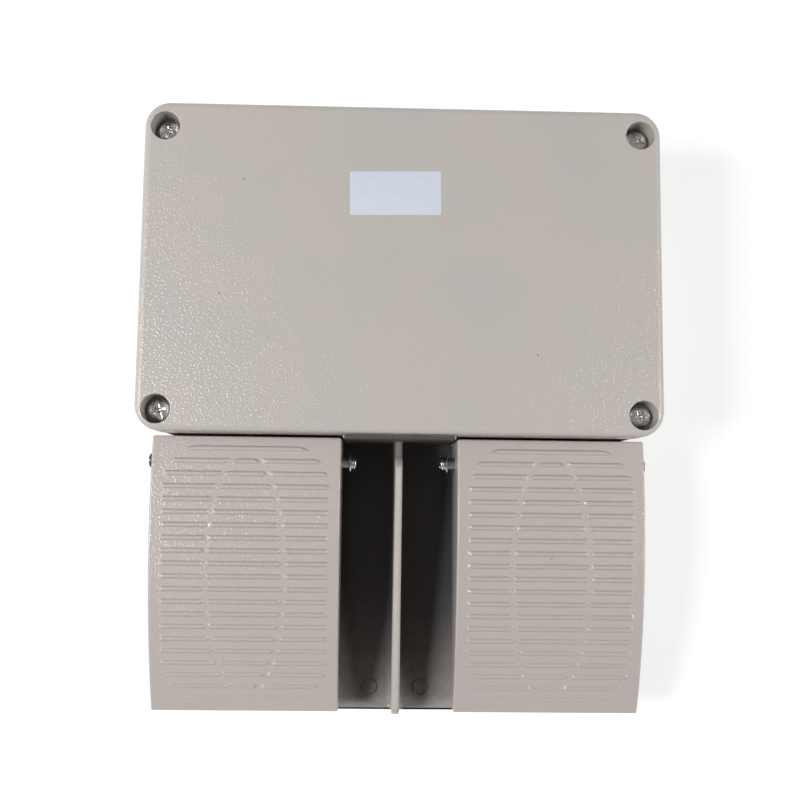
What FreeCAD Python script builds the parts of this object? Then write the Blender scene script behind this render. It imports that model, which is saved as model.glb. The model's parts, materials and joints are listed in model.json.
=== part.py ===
import FreeCAD, Part
import math
import os

# Industrial foot switch with two pedals, in millimetres.
# X runs across the pedals, Y from the toe end to the box, Z up from the floor.
# The origin lies on the floor, under the middle of the outline.

# Lid
lid_width = 243.0
lid_length = 154.6
lid_height = 16.0
lid_top = 72.0
lid_wall = 5.0
lid_roof = 4.0
lid_corner = 12.0
lid_edge_round = 3.5
lid_overhang = 0.5
screw_inset_x = 10.0
screw_inset_front = 9.9
screw_inset_rear = 11.9
counterbore_radius = 6.7
counterbore_depth = 12.0
gasket_thickness = 1.0

# Label on the lid
label_width = 42.5
label_length = 20.8
label_thickness = 0.15
label_corner = 0.8
label_offset_x = -3.8
label_from_rear = 42.4
label_turn = 1.2

# Box and base plate
foot_height = 5.0
floor_thickness = 5.0
box_wall = 4.0
pillar_radius = 9.2
plate_reach = 134.4
plate_side_inset = 6.5
plate_corner = 6.0
plate_edge_round = 1.0
fixing_spacing_x = 180.0
fixing_spacing_y = 44.0
fixing_hole_radius = 2.9
fixing_boss_radius = 7.5
fixing_boss_height = 2.0

# Web between the pedals
web_top_width = 4.0
web_draft = 1.2
web_low_height = 38.0
web_crest_height = 48.0
web_front_height = 31.0
web_low_reach = 9.0
web_crest_reach = 15.0
web_front_gap = 0.8
web_front_round = 6.0
pad_thickness = 1.2
pad_side_gap = 0.7
pad_drop = 3.0
mark_radius = 3.7
mark_depth = 0.35
mark_spacing = 25.6
mark_from_front = 11.2

# Pedals
pedal_inner_x = 27.7
pedal_side_inset = 4.5
pedal_length = 130.6
pedal_gap = 0.7
pedal_wall = 3.5
skirt_wall = 3.2
arch_radius = 240.0
arch_crest_height = 51.7
arch_crest_from_rear = 33.4
toe_wall_height = 5.1
skirt_rear_height = 17.0
skirt_flat = 8.5
pedal_edge_round = 2.0
pedal_travel = 7.0
rear_wall_bottom = 31.0

# Anti-slip ribs on the pedals
rib_rows = 21
rib_pitch = 6.0
rib_width = 2.5
rib_height = 0.8
rib_first_row = 5.9
rib_side_margin = 5.45
rib_band_corner = 22.0
rib_ring_half_x = 18.5
rib_ring_rows = 9.7
rib_ring_gap = 1.7
rib_end_round = 0.35

# Pivot
pivot_back = 12.0
pivot_height = 33.0
shaft_radius = 2.75
shaft_running_gap = 0.05
shaft_inner_stand = 3.8
shaft_outer_stand = 1.0
hub_radius = 6.0
hub_length = 2.0
arm_hub_stand = 1.0
lug_gap = 0.4
lug_thickness = 6.0
lug_half = 7.0
pivot_washer_radius = 4.9
pivot_washer_thickness = 0.8
pivot_spring_washer_radius = 3.4
pivot_spring_washer_thickness = 0.9
pivot_head_radius = 3.5
pivot_head_height = 2.2
pivot_screw_radius = 1.5
pivot_screw_length = 8.0
pivot_screw_turn = 30.0

# Actuating arm, plunger and its guide
arm_thickness = 8.0
arm_half = 5.0
arm_hub_radius = 6.5
arm_bottom = 15.0
plunger_radius = 3.0
plunger_gap = 0.05
plunger_tip_round = 1.8
clip_radius = 4.6
clip_thickness = 0.8
clip_groove = 0.5
clip_mouth = 4.2
bush_radius = 5.0
bush_flange_radius = 7.6
bush_flange = 2.4
bush_length = 12.0
nut_flats = 14.0
nut_height = 4.0
seal_radius = 4.2
seal_depth = 1.6

# Return spring and stops
spring_from_pivot = 50.0
spring_radius = 7.0
spring_wire = 0.7
spring_turns = 7.5
spring_seat_gap = 0.05
spigot_radius = 5.6
spigot_height = 4.0
boss_radius = 9.0
boss_drop = 1.6
bump_from_pivot = 100.0
bump_radius = 6.5
bump_gap = 0.15
bump_boss_height = 31.0
bump_stem_radius = 2.2
bump_stem_length = 3.5
rest_post_depth = 5.0
rest_post_height = 27.0
rest_pad_thickness = 3.0
rest_pad_half = 5.0
rest_gap = 0.05
spine_thickness = 3.0
spine_depth = 8.0
spine_bite = 0.5

# Snap-action switches
switch_length = 49.0
switch_depth = 24.0
switch_thickness = 16.0
switch_plate_thickness = 1.5
switch_plate_margin = 3.0
switch_pillar_gap = 0.5
switch_hole_spacing = 25.4
switch_screw_radius = 2.0
switch_screw_bite = 3.0
switch_head_radius = 3.6
switch_head_height = 2.4
button_radius = 2.4
button_stand = 3.0
button_depth = 9.0
button_tip_round = 0.7
button_travel_room = 2.4
tab_width = 7.0
tab_height = 8.0
tab_thickness = 1.0
tab_pitch = 17.0
tab_screw_radius = 1.5
tab_screw_length = 5.0
tab_head_radius = 2.7
tab_head_height = 1.8

# Wiring inside the box
strip_length = 84.0
strip_depth = 20.0
strip_height = 15.0
strip_poles = 6
strip_pitch = 10.5
strip_y = 84.0
strip_cup_radius = 3.4
strip_cup_depth = 4.0
strip_screw_radius = 2.8
strip_screw_height = 2.0
strip_fixing_radius = 1.7
strip_head_radius = 2.9
earth_x = 60.0
earth_y = 118.0
earth_boss_radius = 6.0
earth_boss_height = 6.0
earth_screw_radius = 2.5
earth_screw_length = 8.0
entry_radius = 9.2
entry_boss_radius = 14.0
entry_boss_depth = 6.0
entry_height = 32.0

# Lid screws
lid_screw_radius = 2.5
lid_head_radius = 5.0
lid_head_height = 3.6
lid_washer_radius = 4.6
lid_washer_thickness = 1.3
lid_screw_length = 22.0
lid_screw_turns = (24.0, 58.0, 12.0, 71.0)

# Rubber feet
foot_radius = 10.0
foot_top_radius = 9.0
foot_side_inset = 20.0
foot_end_inset = 18.0
foot_cup_radius = 5.0
foot_cup_depth = 2.8
foot_boss_radius = 6.0
foot_boss_height = 4.0
foot_screw_radius = 1.9
foot_screw_length = 9.0
foot_head_radius = 3.8
foot_head_height = 1.8

# Clearances
thread_gap = 0.05
pass_gap = 0.3
fit_gap = 0.1
small_round = 1.0
slot_width = 1.2
slot_depth = 1.1
slot_reach = 0.86
cross_reach = 0.5
head_round = 0.45
through = 2.0
meld = 1.0
same_size = 1e-6

# Places worked out from the sizes above
half_length = (lid_length + plate_reach) / 2
half_width = lid_width / 2
lid_front = half_length - lid_length
plate_front = -half_length
floor_bottom = foot_height
floor_top = foot_height + floor_thickness
lid_bottom = lid_top - lid_height
rim_top = lid_bottom - gasket_thickness
box_front = lid_front + lid_overhang
box_rear = half_length - lid_overhang
box_half = half_width - lid_overhang
pedal_rear = lid_front - pedal_gap
pedal_front = pedal_rear - pedal_length
pedal_outer_x = half_width - pedal_side_inset
pedal_width = pedal_outer_x - pedal_inner_x
pedal_mid_x = pedal_inner_x + pedal_width / 2
rib_band_half = pedal_width / 2 - rib_side_margin
plate_half_width = half_width - plate_side_inset
crest_y = pedal_rear - arch_crest_from_rear
pivot_y = lid_front - pivot_back
plunger_tip_y = pivot_y + arm_half + plunger_gap
switch_front = lid_front + screw_inset_front + pillar_radius + switch_pillar_gap
plunger_end_y = switch_front - button_stand - plunger_gap
switch_bottom = floor_top + switch_plate_thickness
plunger_height = switch_bottom + switch_thickness / 2
screw_seat = lid_top - counterbore_depth
screw_places = [
    (side * (half_width - screw_inset_x), y)
    for side in (-1, 1)
    for y in (lid_front + screw_inset_front, half_length - screw_inset_rear)
]
foot_places = [
    (side * (plate_half_width - foot_side_inset), y)
    for side in (-1, 1)
    for y in (plate_front + foot_end_inset, half_length - foot_end_inset)
]
fixing_places = [
    (sx * fixing_spacing_x / 2, (box_front + box_rear) / 2 + sy * fixing_spacing_y / 2)
    for sx in (-1, 1)
    for sy in (-1, 1)
]


def vec(x, y, z):
    return FreeCAD.Vector(x, y, z)


def block(x0, x1, y0, y1, z0, z1):
    return Part.makeBox(x1 - x0, y1 - y0, z1 - z0, vec(x0, y0, z0))


def disc(x, y, z0, z1, radius):
    return Part.makeCylinder(radius, z1 - z0, vec(x, y, z0), vec(0, 0, 1))


def rod_x(x0, x1, y, z, radius):
    return Part.makeCylinder(radius, x1 - x0, vec(x0, y, z), vec(1, 0, 0))


def rod_y(y0, y1, x, z, radius):
    return Part.makeCylinder(radius, y1 - y0, vec(x, y0, z), vec(0, 1, 0))


def rounded_block(x0, x1, y0, y1, z0, z1, corner):
    solid = block(x0, x1, y0, y1, z0, z1)
    upright = [e for e in solid.Edges if abs(e.BoundBox.ZLength - (z1 - z0)) < same_size]
    return solid.makeFillet(corner, upright)


def side_prism(points, x0, x1):
    # closed outline in the YZ plane, drawn with straight edges, pushed along X
    outline = Part.makePolygon([vec(x0, y, z) for y, z in points + points[:1]])
    return Part.Face(outline).extrude(vec(x1 - x0, 0, 0))


def fused(solids):
    return solids[0].multiFuse(solids[1:]).removeSplitter() if len(solids) > 1 else solids[0]


def group(solids):
    return Part.makeCompound(solids)


def mirrored(solid):
    return solid.mirror(vec(0, 0, 0), vec(1, 0, 0))


def hexagon(y0, y1, x, z, flats):
    corner = flats / 2 / math.cos(math.pi / 6)
    ring = [
        vec(x + corner * math.cos(math.radians(60 * k)), y0, z + corner * math.sin(math.radians(60 * k)))
        for k in range(7)
    ]
    return Part.Face(Part.makePolygon(ring)).extrude(vec(0, y1 - y0, 0))


def arch_height(y, lowered=0.0):
    # height of the pedal's arched top, or of its underside when lowered by the wall
    radius = arch_radius - lowered
    return arch_crest_height - arch_radius + math.sqrt(radius**2 - (y - crest_y) ** 2)


def box_cavity(z0, z1, wall, keep):
    # hollow of the box or lid, with a pillar left standing round each lid screw
    x_in = box_half - wall
    y0 = box_front + wall
    y1 = box_rear - wall
    hollow = block(-x_in, x_in, y0, y1, z0, z1)
    pillars = []
    for x, y in screw_places:
        side = 1 if x > 0 else -1
        end = 1 if y > (y0 + y1) / 2 else -1
        pillars.append(disc(x, y, z0, z1, keep))
        x_edge = side * half_width
        y_edge = half_length if end > 0 else lid_front
        xs = sorted((x, x_edge))
        ys = sorted((y, y_edge))
        grown_x = (xs[0] - keep, xs[1]) if side > 0 else (xs[0], xs[1] + keep)
        grown_y = (ys[0] - keep, ys[1]) if end > 0 else (ys[0], ys[1] + keep)
        pillars.append(block(xs[0], xs[1], grown_y[0], grown_y[1], z0, z1))
        pillars.append(block(grown_x[0], grown_x[1], ys[0], ys[1], z0, z1))
    return hollow.cut(fused(pillars))


def make_base():
    corner = lid_corner - lid_overhang
    box = rounded_block(-box_half, box_half, box_front, box_rear, floor_bottom, rim_top, corner)
    plate = rounded_block(
        -plate_half_width,
        plate_half_width,
        plate_front,
        box_front + lid_corner + box_wall,
        floor_bottom,
        floor_top,
        plate_corner,
    )
    top_edges = [e for e in plate.Edges if abs(e.BoundBox.ZMin - floor_top) < same_size]
    plate = plate.makeFillet(plate_edge_round, [e for e in top_edges if e.BoundBox.YMin < box_front])
    shell = box.cut(box_cavity(floor_top, rim_top + through, box_wall, pillar_radius))
    solids = [shell, plate]

    # web with a low rear step, drafted on both sides
    web_front = plate_front + web_front_gap
    draft = math.tan(math.radians(web_draft))
    outline = [
        (box_front + box_wall / 2, floor_top - through),
        (box_front + box_wall / 2, web_low_height),
        (box_front - web_low_reach, web_low_height),
        (box_front - web_crest_reach, web_crest_height),
        (web_front + web_front_round, web_front_height),
        (web_front, web_front_height - web_front_round),
        (web_front, floor_top - through),
    ]
    half = web_top_width / 2 + (web_crest_height - floor_top) * draft
    web = side_prism(outline, -half, half)
    for side in (-1, 1):
        wedge = Part.makePolygon(
            [
                vec(side * web_top_width / 2, 0, web_crest_height),
                vec(side * half, 0, floor_top),
                vec(side * (half + through), 0, floor_top),
                vec(side * (half + through), 0, web_crest_height + through),
                vec(side * web_top_width / 2, 0, web_crest_height + through),
                vec(side * web_top_width / 2, 0, web_crest_height),
            ]
        )
        cutter = Part.Face(wedge).extrude(vec(0, plate_reach + box_wall + through, 0))
        cutter.translate(vec(0, plate_front - through, 0))
        web = web.cut(cutter)
    solids.append(web)

    # raised pad on the front wall, between the pedals
    pad_half = pedal_inner_x - pad_side_gap
    pad_front = box_front - pad_thickness
    pad_top = rim_top - pad_drop
    solids.append(block(-pad_half, pad_half, pad_front, box_front + through, floor_top - through, pad_top))

    for side in (-1, 1):
        mid = side * pedal_mid_x
        for x0 in lug_starts():
            xs = sorted((side * x0, side * (x0 + lug_thickness)))
            ys = (pivot_y - lug_half, pivot_y + lug_half)
            post = block(xs[0], xs[1], ys[0], ys[1], floor_top - through, pivot_height)
            top = rod_x(xs[0], xs[1], pivot_y, pivot_height, lug_half)
            solids.append(post.fuse(top))
        spring_y = pivot_y - spring_from_pivot
        solids.append(disc(mid, spring_y, floor_top - through, floor_top + spigot_height, spigot_radius))
        post_y = pivot_y - arm_half - rest_gap - rest_pad_thickness
        solids.append(
            block(
                mid - rest_pad_half,
                mid + rest_pad_half,
                post_y - rest_post_depth,
                post_y,
                floor_top - through,
                rest_post_height,
            )
        )
    for x, y in foot_places:
        solids.append(disc(x, y, floor_top - through, floor_top + foot_boss_height, foot_boss_radius))
    for x, y in fixing_places:
        solids.append(disc(x, y, floor_top - through, floor_top + fixing_boss_height, fixing_boss_radius))
    entry_inside = box_rear - box_wall - entry_boss_depth
    solids.append(rod_y(entry_inside, box_rear - box_wall / 2, 0, entry_height, entry_boss_radius))
    earth_top = floor_top + earth_boss_height
    solids.append(disc(earth_x, earth_y, floor_top - through, earth_top, earth_boss_radius))
    casting = fused(solids)

    cuts = []
    for x, y in screw_places:
        cuts.append(disc(x, y, screw_tip() - through, rim_top + through, lid_screw_radius + thread_gap))
    foot_hole_top = foot_cup_depth + foot_screw_length + fit_gap
    for x, y in foot_places:
        cuts.append(disc(x, y, floor_bottom - through, foot_hole_top, foot_screw_radius + thread_gap))
    fixing_top = floor_top + fixing_boss_height + through
    for x, y in fixing_places:
        cuts.append(disc(x, y, floor_bottom - through, fixing_top, fixing_hole_radius))
    bite = floor_top - switch_screw_bite - fit_gap
    for side in (-1, 1):
        mid = side * pedal_mid_x
        x_span = sorted((side * pedal_inner_x, side * pedal_outer_x))
        seat = shaft_radius + shaft_running_gap / 2
        cuts.append(rod_x(x_span[0], x_span[1], pivot_y, pivot_height, seat))
        wall_span = (box_front - through, box_front + box_wall + through)
        cuts.append(rod_y(wall_span[0], wall_span[1], mid, plunger_height, bush_radius + fit_gap))
        stem_y = pivot_y - bump_from_pivot
        stem_end = floor_top - bump_stem_length - fit_gap
        cuts.append(disc(mid, stem_y, stem_end, floor_top + through, bump_stem_radius + fit_gap))
        for x, y in switch_screw_places(side):
            cuts.append(disc(x, y, bite, floor_top + through, switch_screw_radius + thread_gap))
        mark_y = plate_front + mark_from_front
        mark_bottom = floor_top - mark_depth
        cuts.append(disc(side * mark_spacing / 2, mark_y, mark_bottom, floor_top + through, mark_radius))
    for x in strip_fixing_places():
        cuts.append(disc(x, strip_y, bite, floor_top + through, strip_fixing_radius + thread_gap))
    cuts.append(rod_y(entry_inside - through, box_rear + through, 0, entry_height, entry_radius))
    earth_tip = earth_top - earth_screw_length - fit_gap
    cuts.append(disc(earth_x, earth_y, earth_tip, earth_top + through, earth_screw_radius + thread_gap))
    return casting.cut(fused_cut(cuts))


def fused_cut(cuts):
    return cuts[0].multiFuse(cuts[1:])


def lug_starts():
    inner = pedal_inner_x + skirt_wall + hub_length + lug_gap
    outer = pedal_outer_x - skirt_wall - hub_length - lug_gap - lug_thickness
    return (inner, outer)


def screw_tip():
    return screw_seat + lid_washer_thickness - lid_screw_length


def make_lid():
    lid = rounded_block(-half_width, half_width, lid_front, half_length, lid_bottom, lid_top, lid_corner)
    rim = [e for e in lid.Edges if abs(e.BoundBox.ZMin - lid_top) < same_size]
    lid = lid.makeFillet(lid_edge_round, rim)
    keep = counterbore_radius + lid_wall / 2
    lid = lid.cut(box_cavity(lid_bottom - through, lid_top - lid_roof, lid_wall, keep))
    cuts = []
    for x, y in screw_places:
        cuts.append(disc(x, y, screw_seat, lid_top + through, counterbore_radius))
        cuts.append(disc(x, y, lid_bottom - through, screw_seat + through / 2, lid_screw_radius + pass_gap))
    return lid.cut(fused_cut(cuts))


def make_gasket():
    # flat rubber sheet with the outline of the rim
    inset = lid_overhang
    half = box_half - inset
    corner = lid_corner - lid_overhang - inset
    sheet = rounded_block(-half, half, box_front + inset, box_rear - inset, rim_top, lid_bottom, corner)
    sheet = sheet.cut(box_cavity(rim_top - through, lid_bottom + through, box_wall, pillar_radius))
    bore = lid_screw_radius + pass_gap
    holes = [disc(x, y, rim_top - through, lid_bottom + through, bore) for x, y in screw_places]
    return sheet.cut(fused_cut(holes))


def pan_head(x, y, z, radius, height, turn):
    # domed head with a slot and a cross recess, standing on z
    head = disc(x, y, z, z + height, radius)
    rim = [e for e in head.Edges if abs(e.BoundBox.ZMin - (z + height)) < same_size]
    head = head.makeFillet(min(radius, height) * head_round, rim)
    half = slot_width / 2
    bottom = z + height - slot_depth
    top = z + height + through
    slot = block(-radius * slot_reach, radius * slot_reach, -half, half, bottom, top)
    cross = block(-half, half, -radius * cross_reach, radius * cross_reach, bottom, top)
    recess = slot.fuse(cross)
    recess.rotate(vec(0, 0, 0), vec(0, 0, 1), turn)
    recess.translate(vec(x, y, 0))
    return head.cut(recess)


def ring(x, y, z0, z1, outer, inner):
    return disc(x, y, z0, z1, outer).cut(disc(x, y, z0 - through, z1 + through, inner))


def make_lid_screws():
    screws = []
    for (x, y), turn in zip(screw_places, lid_screw_turns):
        under_head = screw_seat + lid_washer_thickness
        head = pan_head(x, y, under_head, lid_head_radius, lid_head_height, turn)
        screws.append(head.fuse(disc(x, y, screw_tip(), under_head + slot_width / 2, lid_screw_radius)))
    return group(screws)


def make_lid_washers():
    top = screw_seat + lid_washer_thickness
    bore = lid_screw_radius + fit_gap
    return group([ring(x, y, screw_seat, top, lid_washer_radius, bore) for x, y in screw_places])


def make_label():
    half_x = label_width / 2
    half_y = label_length / 2
    top = lid_top + label_thickness
    plate = rounded_block(-half_x, half_x, -half_y, half_y, lid_top, top, label_corner)
    plate.rotate(vec(0, 0, 0), vec(0, 0, 1), label_turn)
    plate.translate(vec(label_offset_x, half_length - label_from_rear, 0))
    return plate


def rib_spans(row):
    # spans of one row's ribs across the pedal, measured from its middle
    v = (row - (rib_rows - 1) / 2) * rib_pitch
    band_end = rib_rows * rib_pitch / 2
    past = max(abs(v) - (band_end - rib_band_corner), 0)
    edge = rib_band_half - rib_band_corner + math.sqrt(rib_band_corner**2 - past**2)
    ring_end = rib_ring_rows * rib_pitch
    if abs(v) >= ring_end:
        return [(-edge, edge)]
    inner = rib_ring_half_x * math.sqrt(1 - (v / ring_end) ** 2)
    half_gap = rib_ring_gap / 2
    return [(-edge, -inner - half_gap), (-inner + half_gap, inner - half_gap), (inner + half_gap, edge)]


def make_rib(x0, x1, y, slope):
    # one rib with round ends, bedded in the top and leaning with its slope
    half = rib_width / 2
    a = x0 + half
    b = x1 - half
    sides = [Part.makeLine(vec(a, side * half, 0), vec(b, side * half, 0)) for side in (-1, 1)]
    nose = Part.Arc(vec(b, -half, 0), vec(x1, 0, 0), vec(b, half, 0)).toShape()
    tail = Part.Arc(vec(a, -half, 0), vec(x0, 0, 0), vec(a, half, 0)).toShape()
    outline = Part.Wire([sides[0], nose, sides[1], tail])
    rib = Part.Face(outline).extrude(vec(0, 0, 2 * rib_height))
    rib.translate(vec(0, 0, -rib_height))
    rim = [e for e in rib.Edges if abs(e.BoundBox.ZMin - rib_height) < same_size]
    rib = rib.makeFillet(rib_end_round, rim)
    rib.rotate(vec(0, 0, 0), vec(1, 0, 0), slope)
    rib.translate(vec(pedal_mid_x, y, arch_height(y)))
    return rib


def arch_prism(lowered, y0, y1, x0, x1, bottom):
    # solid under the arch between two stations, with flat ends
    front, middle, rear = [vec(x0, y, arch_height(y, lowered)) for y in (y0, (y0 + y1) / 2, y1)]
    corners = [rear] + [vec(x0, y, z) for y, z in bottom] + [front]
    edges = [Part.Arc(front, middle, rear).toShape()]
    edges += [Part.makeLine(a, b) for a, b in zip(corners, corners[1:])]
    return Part.Face(Part.Wire(edges)).extrude(vec(x1 - x0, 0, 0))


def make_pedal():
    lower = [
        (pedal_rear, rear_wall_bottom),
        (pivot_y + skirt_flat, skirt_rear_height),
        (pivot_y - skirt_flat, skirt_rear_height),
        (pedal_front, arch_height(pedal_front) - toe_wall_height),
    ]
    shell = arch_prism(0.0, pedal_front, pedal_rear, pedal_inner_x, pedal_outer_x, lower)
    tread = max(shell.Faces, key=lambda face: face.CenterOfMass.z)
    corners = [e for e in shell.Edges if e.BoundBox.XLength < same_size and e.BoundBox.YLength < same_size]
    shell = shell.makeFillet(pedal_edge_round, tread.Edges + corners)

    x_in = (pedal_inner_x + skirt_wall, pedal_outer_x - skirt_wall)
    y_in = (pedal_front + skirt_wall, pedal_rear - skirt_wall)
    below = [(y_in[1], 0.0), (y_in[0], 0.0)]
    hollow = arch_prism(pedal_wall, y_in[0], y_in[1], x_in[0], x_in[1], below)
    shell = shell.cut(hollow)
    heel_y = pivot_y + skirt_flat - through
    shell = shell.cut(block(x_in[0], x_in[1], heel_y, pedal_rear + through, 0, rear_wall_bottom))

    solids = [shell]
    solids.append(rod_x(x_in[0] - meld, x_in[0] + hub_length, pivot_y, pivot_height, hub_radius))
    solids.append(rod_x(x_in[1] - hub_length, x_in[1] + meld, pivot_y, pivot_height, hub_radius))

    inside = arch_prism(pedal_wall / 2, y_in[0], y_in[1], x_in[0], x_in[1], below)
    arm_x = (pedal_mid_x - arm_thickness / 2, pedal_mid_x + arm_thickness / 2)
    arm = block(arm_x[0], arm_x[1], pivot_y - arm_half, pivot_y + arm_half, arm_bottom, arch_crest_height)
    solids.append(arm.common(inside))
    arm_hub = (arm_x[0] - arm_hub_stand, arm_x[1] + arm_hub_stand)
    solids.append(rod_x(arm_hub[0], arm_hub[1], pivot_y, pivot_height, arm_hub_radius))
    spring_y = pivot_y - spring_from_pivot
    spring_top = spring_top_height()
    solids.append(disc(pedal_mid_x, spring_y, spring_top, arch_crest_height, boss_radius).common(inside))
    solids.append(disc(pedal_mid_x, spring_y, spring_top - spigot_height, spring_top + meld, spigot_radius))
    spine_x = (pedal_mid_x - spine_thickness / 2, pedal_mid_x + spine_thickness / 2)
    spine_z = arch_height(spring_y, pedal_wall) - spine_depth
    spine_y = spring_y + boss_radius - spine_bite
    spine = block(spine_x[0], spine_x[1], spine_y, pivot_y, spine_z, arch_crest_height)
    solids.append(spine.common(inside))
    bump_y = pivot_y - bump_from_pivot
    bump_boss = disc(pedal_mid_x, bump_y, bump_boss_height, arch_crest_height, bump_radius)
    solids.append(bump_boss.common(inside))

    start = math.asin((pedal_rear - crest_y) / arch_radius) * arch_radius - rib_first_row
    for row in range(rib_rows):
        angle = (start - row * rib_pitch) / arch_radius
        y = crest_y + arch_radius * math.sin(angle)
        for x0, x1 in rib_spans(row):
            solids.append(make_rib(x0, x1, y, -math.degrees(angle)))
    pedal = solids[0].multiFuse(solids[1:])
    bore = shaft_radius + shaft_running_gap
    return pedal.cut(rod_x(pedal_inner_x - through, pedal_outer_x + through, pivot_y, pivot_height, bore))


def spring_top_height():
    return arch_height(pivot_y - spring_from_pivot, pedal_wall) - boss_drop


def make_shaft():
    x0 = pedal_inner_x - shaft_inner_stand
    x1 = pedal_outer_x + shaft_outer_stand
    shaft = rod_x(x0, x1, pivot_y, pivot_height, shaft_radius)
    bore = pivot_screw_radius + thread_gap
    depth = pivot_screw_length
    shaft = shaft.cut(rod_x(x0 - through, x0 + depth, pivot_y, pivot_height, bore))
    return shaft.cut(rod_x(x1 - depth, x1 + through, pivot_y, pivot_height, bore))


def shaft_ends():
    # each end of the shaft, with the way that its washers and screw stack up
    return ((pedal_inner_x - shaft_inner_stand, -1), (pedal_outer_x + shaft_outer_stand, 1))


def washer_x(x0, x1, outer):
    xs = sorted((x0, x1))
    hole = rod_x(xs[0] - through, xs[1] + through, pivot_y, pivot_height, pivot_screw_radius + fit_gap)
    return rod_x(xs[0], xs[1], pivot_y, pivot_height, outer).cut(hole)


def make_pivot_washers():
    thickness = pivot_washer_thickness
    return group([washer_x(x, x + out * thickness, pivot_washer_radius) for x, out in shaft_ends()])


def make_pivot_spring_washers():
    washers = []
    for end_x, out in shaft_ends():
        x0 = end_x + out * pivot_washer_thickness
        x1 = x0 + out * pivot_spring_washer_thickness
        washers.append(washer_x(x0, x1, pivot_spring_washer_radius))
    return group(washers)


def make_pivot_screws():
    screws = []
    stack = pivot_washer_thickness + pivot_spring_washer_thickness
    tip = fit_gap - pivot_screw_length - stack
    for end_x, out in shaft_ends():
        head = pan_head(0, 0, 0, pivot_head_radius, pivot_head_height, pivot_screw_turn)
        screw = head.fuse(disc(0, 0, tip, slot_width / 2, pivot_screw_radius))
        screw.rotate(vec(0, 0, 0), vec(0, 1, 0), 90 * out)
        screw.translate(vec(end_x + out * stack, pivot_y, pivot_height))
        screws.append(screw)
    return group(screws)


def make_bush():
    front = box_front - bush_flange
    bush = rod_y(box_front, box_front + bush_length, pedal_mid_x, plunger_height, bush_radius)
    bush = bush.fuse(rod_y(front, box_front, pedal_mid_x, plunger_height, bush_flange_radius))
    rear = box_front + bush_length + through
    bore = plunger_radius + plunger_gap
    bush = bush.cut(rod_y(front - through, rear, pedal_mid_x, plunger_height, bore))
    return bush.cut(rod_y(front - through, front + seal_depth, pedal_mid_x, plunger_height, seal_radius))


def make_seal():
    front = box_front - bush_flange
    rear = front + seal_depth
    bore = plunger_radius + plunger_gap
    seal = rod_y(front, rear, pedal_mid_x, plunger_height, seal_radius)
    return seal.cut(rod_y(front - through, rear + through, pedal_mid_x, plunger_height, bore))


def make_bush_nut():
    y0 = box_front + box_wall
    y1 = y0 + nut_height
    nut = hexagon(y0, y1, pedal_mid_x, plunger_height, nut_flats)
    return nut.cut(rod_y(y0 - through, y1 + through, pedal_mid_x, plunger_height, bush_radius + thread_gap))


def clip_y():
    return box_front + bush_length + fit_gap


def clip_ring(outer):
    y0 = clip_y()
    y1 = y0 + clip_thickness
    hole = rod_y(y0 - through, y1 + through, pedal_mid_x, plunger_height, plunger_radius - clip_groove)
    return rod_y(y0, y1, pedal_mid_x, plunger_height, outer).cut(hole)


def make_plunger():
    plunger = rod_y(plunger_tip_y, plunger_end_y, pedal_mid_x, plunger_height, plunger_radius)
    tip = [e for e in plunger.Edges if abs(e.BoundBox.YMax - plunger_tip_y) < same_size]
    plunger = plunger.makeFillet(plunger_tip_round, tip)
    return plunger.cut(clip_ring(plunger_radius + through))


def make_clip():
    # open ring that snaps into the plunger's groove, with its mouth on top
    y0 = clip_y() - through
    y1 = y0 + clip_thickness + 2 * through
    x0 = pedal_mid_x - clip_mouth / 2
    mouth = block(x0, x0 + clip_mouth, y0, y1, plunger_height, plunger_height + clip_radius + through)
    return clip_ring(clip_radius).cut(mouth)


def make_spring():
    base_z = floor_top + spring_seat_gap
    top_z = spring_top_height() - spring_seat_gap
    height = top_z - base_z - 2 * spring_wire
    helix = Part.makeHelix(height / spring_turns, height, spring_radius)
    start = vec(spring_radius, 0, 0)
    section = Part.Wire(Part.makeCircle(spring_wire, start, vec(0, 1, 0)))
    coil = Part.Wire(helix).makePipeShell([section], True, True)
    coil.translate(vec(pedal_mid_x, pivot_y - spring_from_pivot, base_z + spring_wire))
    return coil


def bump_top():
    # height of the boss under the pedal when it is fully down, less a small gap
    angle = math.radians(pedal_travel)
    reach = bump_from_pivot + bump_radius
    drop = reach * math.sin(angle)
    return pivot_height - drop + (bump_boss_height - pivot_height) * math.cos(angle) - bump_gap


def make_bump_stop():
    y = pivot_y - bump_from_pivot
    cap = disc(pedal_mid_x, y, floor_top, bump_top(), bump_radius)
    rim = [e for e in cap.Edges if abs(e.BoundBox.ZMin - bump_top()) < same_size]
    cap = cap.makeFillet(small_round, rim)
    return cap.fuse(disc(pedal_mid_x, y, floor_top - bump_stem_length, floor_top + meld, bump_stem_radius))


def make_rest_stop():
    y1 = pivot_y - arm_half - rest_gap
    z0 = plunger_height - rest_pad_half
    x0 = pedal_mid_x - rest_pad_half
    return block(x0, x0 + 2 * rest_pad_half, y1 - rest_pad_thickness, y1, z0, z0 + 2 * rest_pad_half)


def switch_screw_places(side):
    y = switch_front + switch_depth / 2
    return [(side * pedal_mid_x + k * switch_hole_spacing / 2, y) for k in (-1, 1)]


def make_switch_body():
    x0 = pedal_mid_x - switch_length / 2
    y1 = switch_front + switch_depth
    top = switch_bottom + switch_thickness
    body = rounded_block(x0, x0 + switch_length, switch_front, y1, switch_bottom, top, small_round)
    pocket = switch_front + button_depth + button_travel_room
    bore = button_radius + plunger_gap
    cuts = [rod_y(switch_front - through, pocket, pedal_mid_x, plunger_height, bore)]
    for x, y in switch_screw_places(1):
        cuts.append(disc(x, y, switch_bottom - through, top + through, switch_screw_radius + fit_gap))
    bore = tab_screw_radius + thread_gap
    for x in tab_places():
        cuts.append(rod_y(y1 - tab_screw_length, y1 + through, x, plunger_height, bore))
    return body.cut(fused_cut(cuts))


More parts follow.
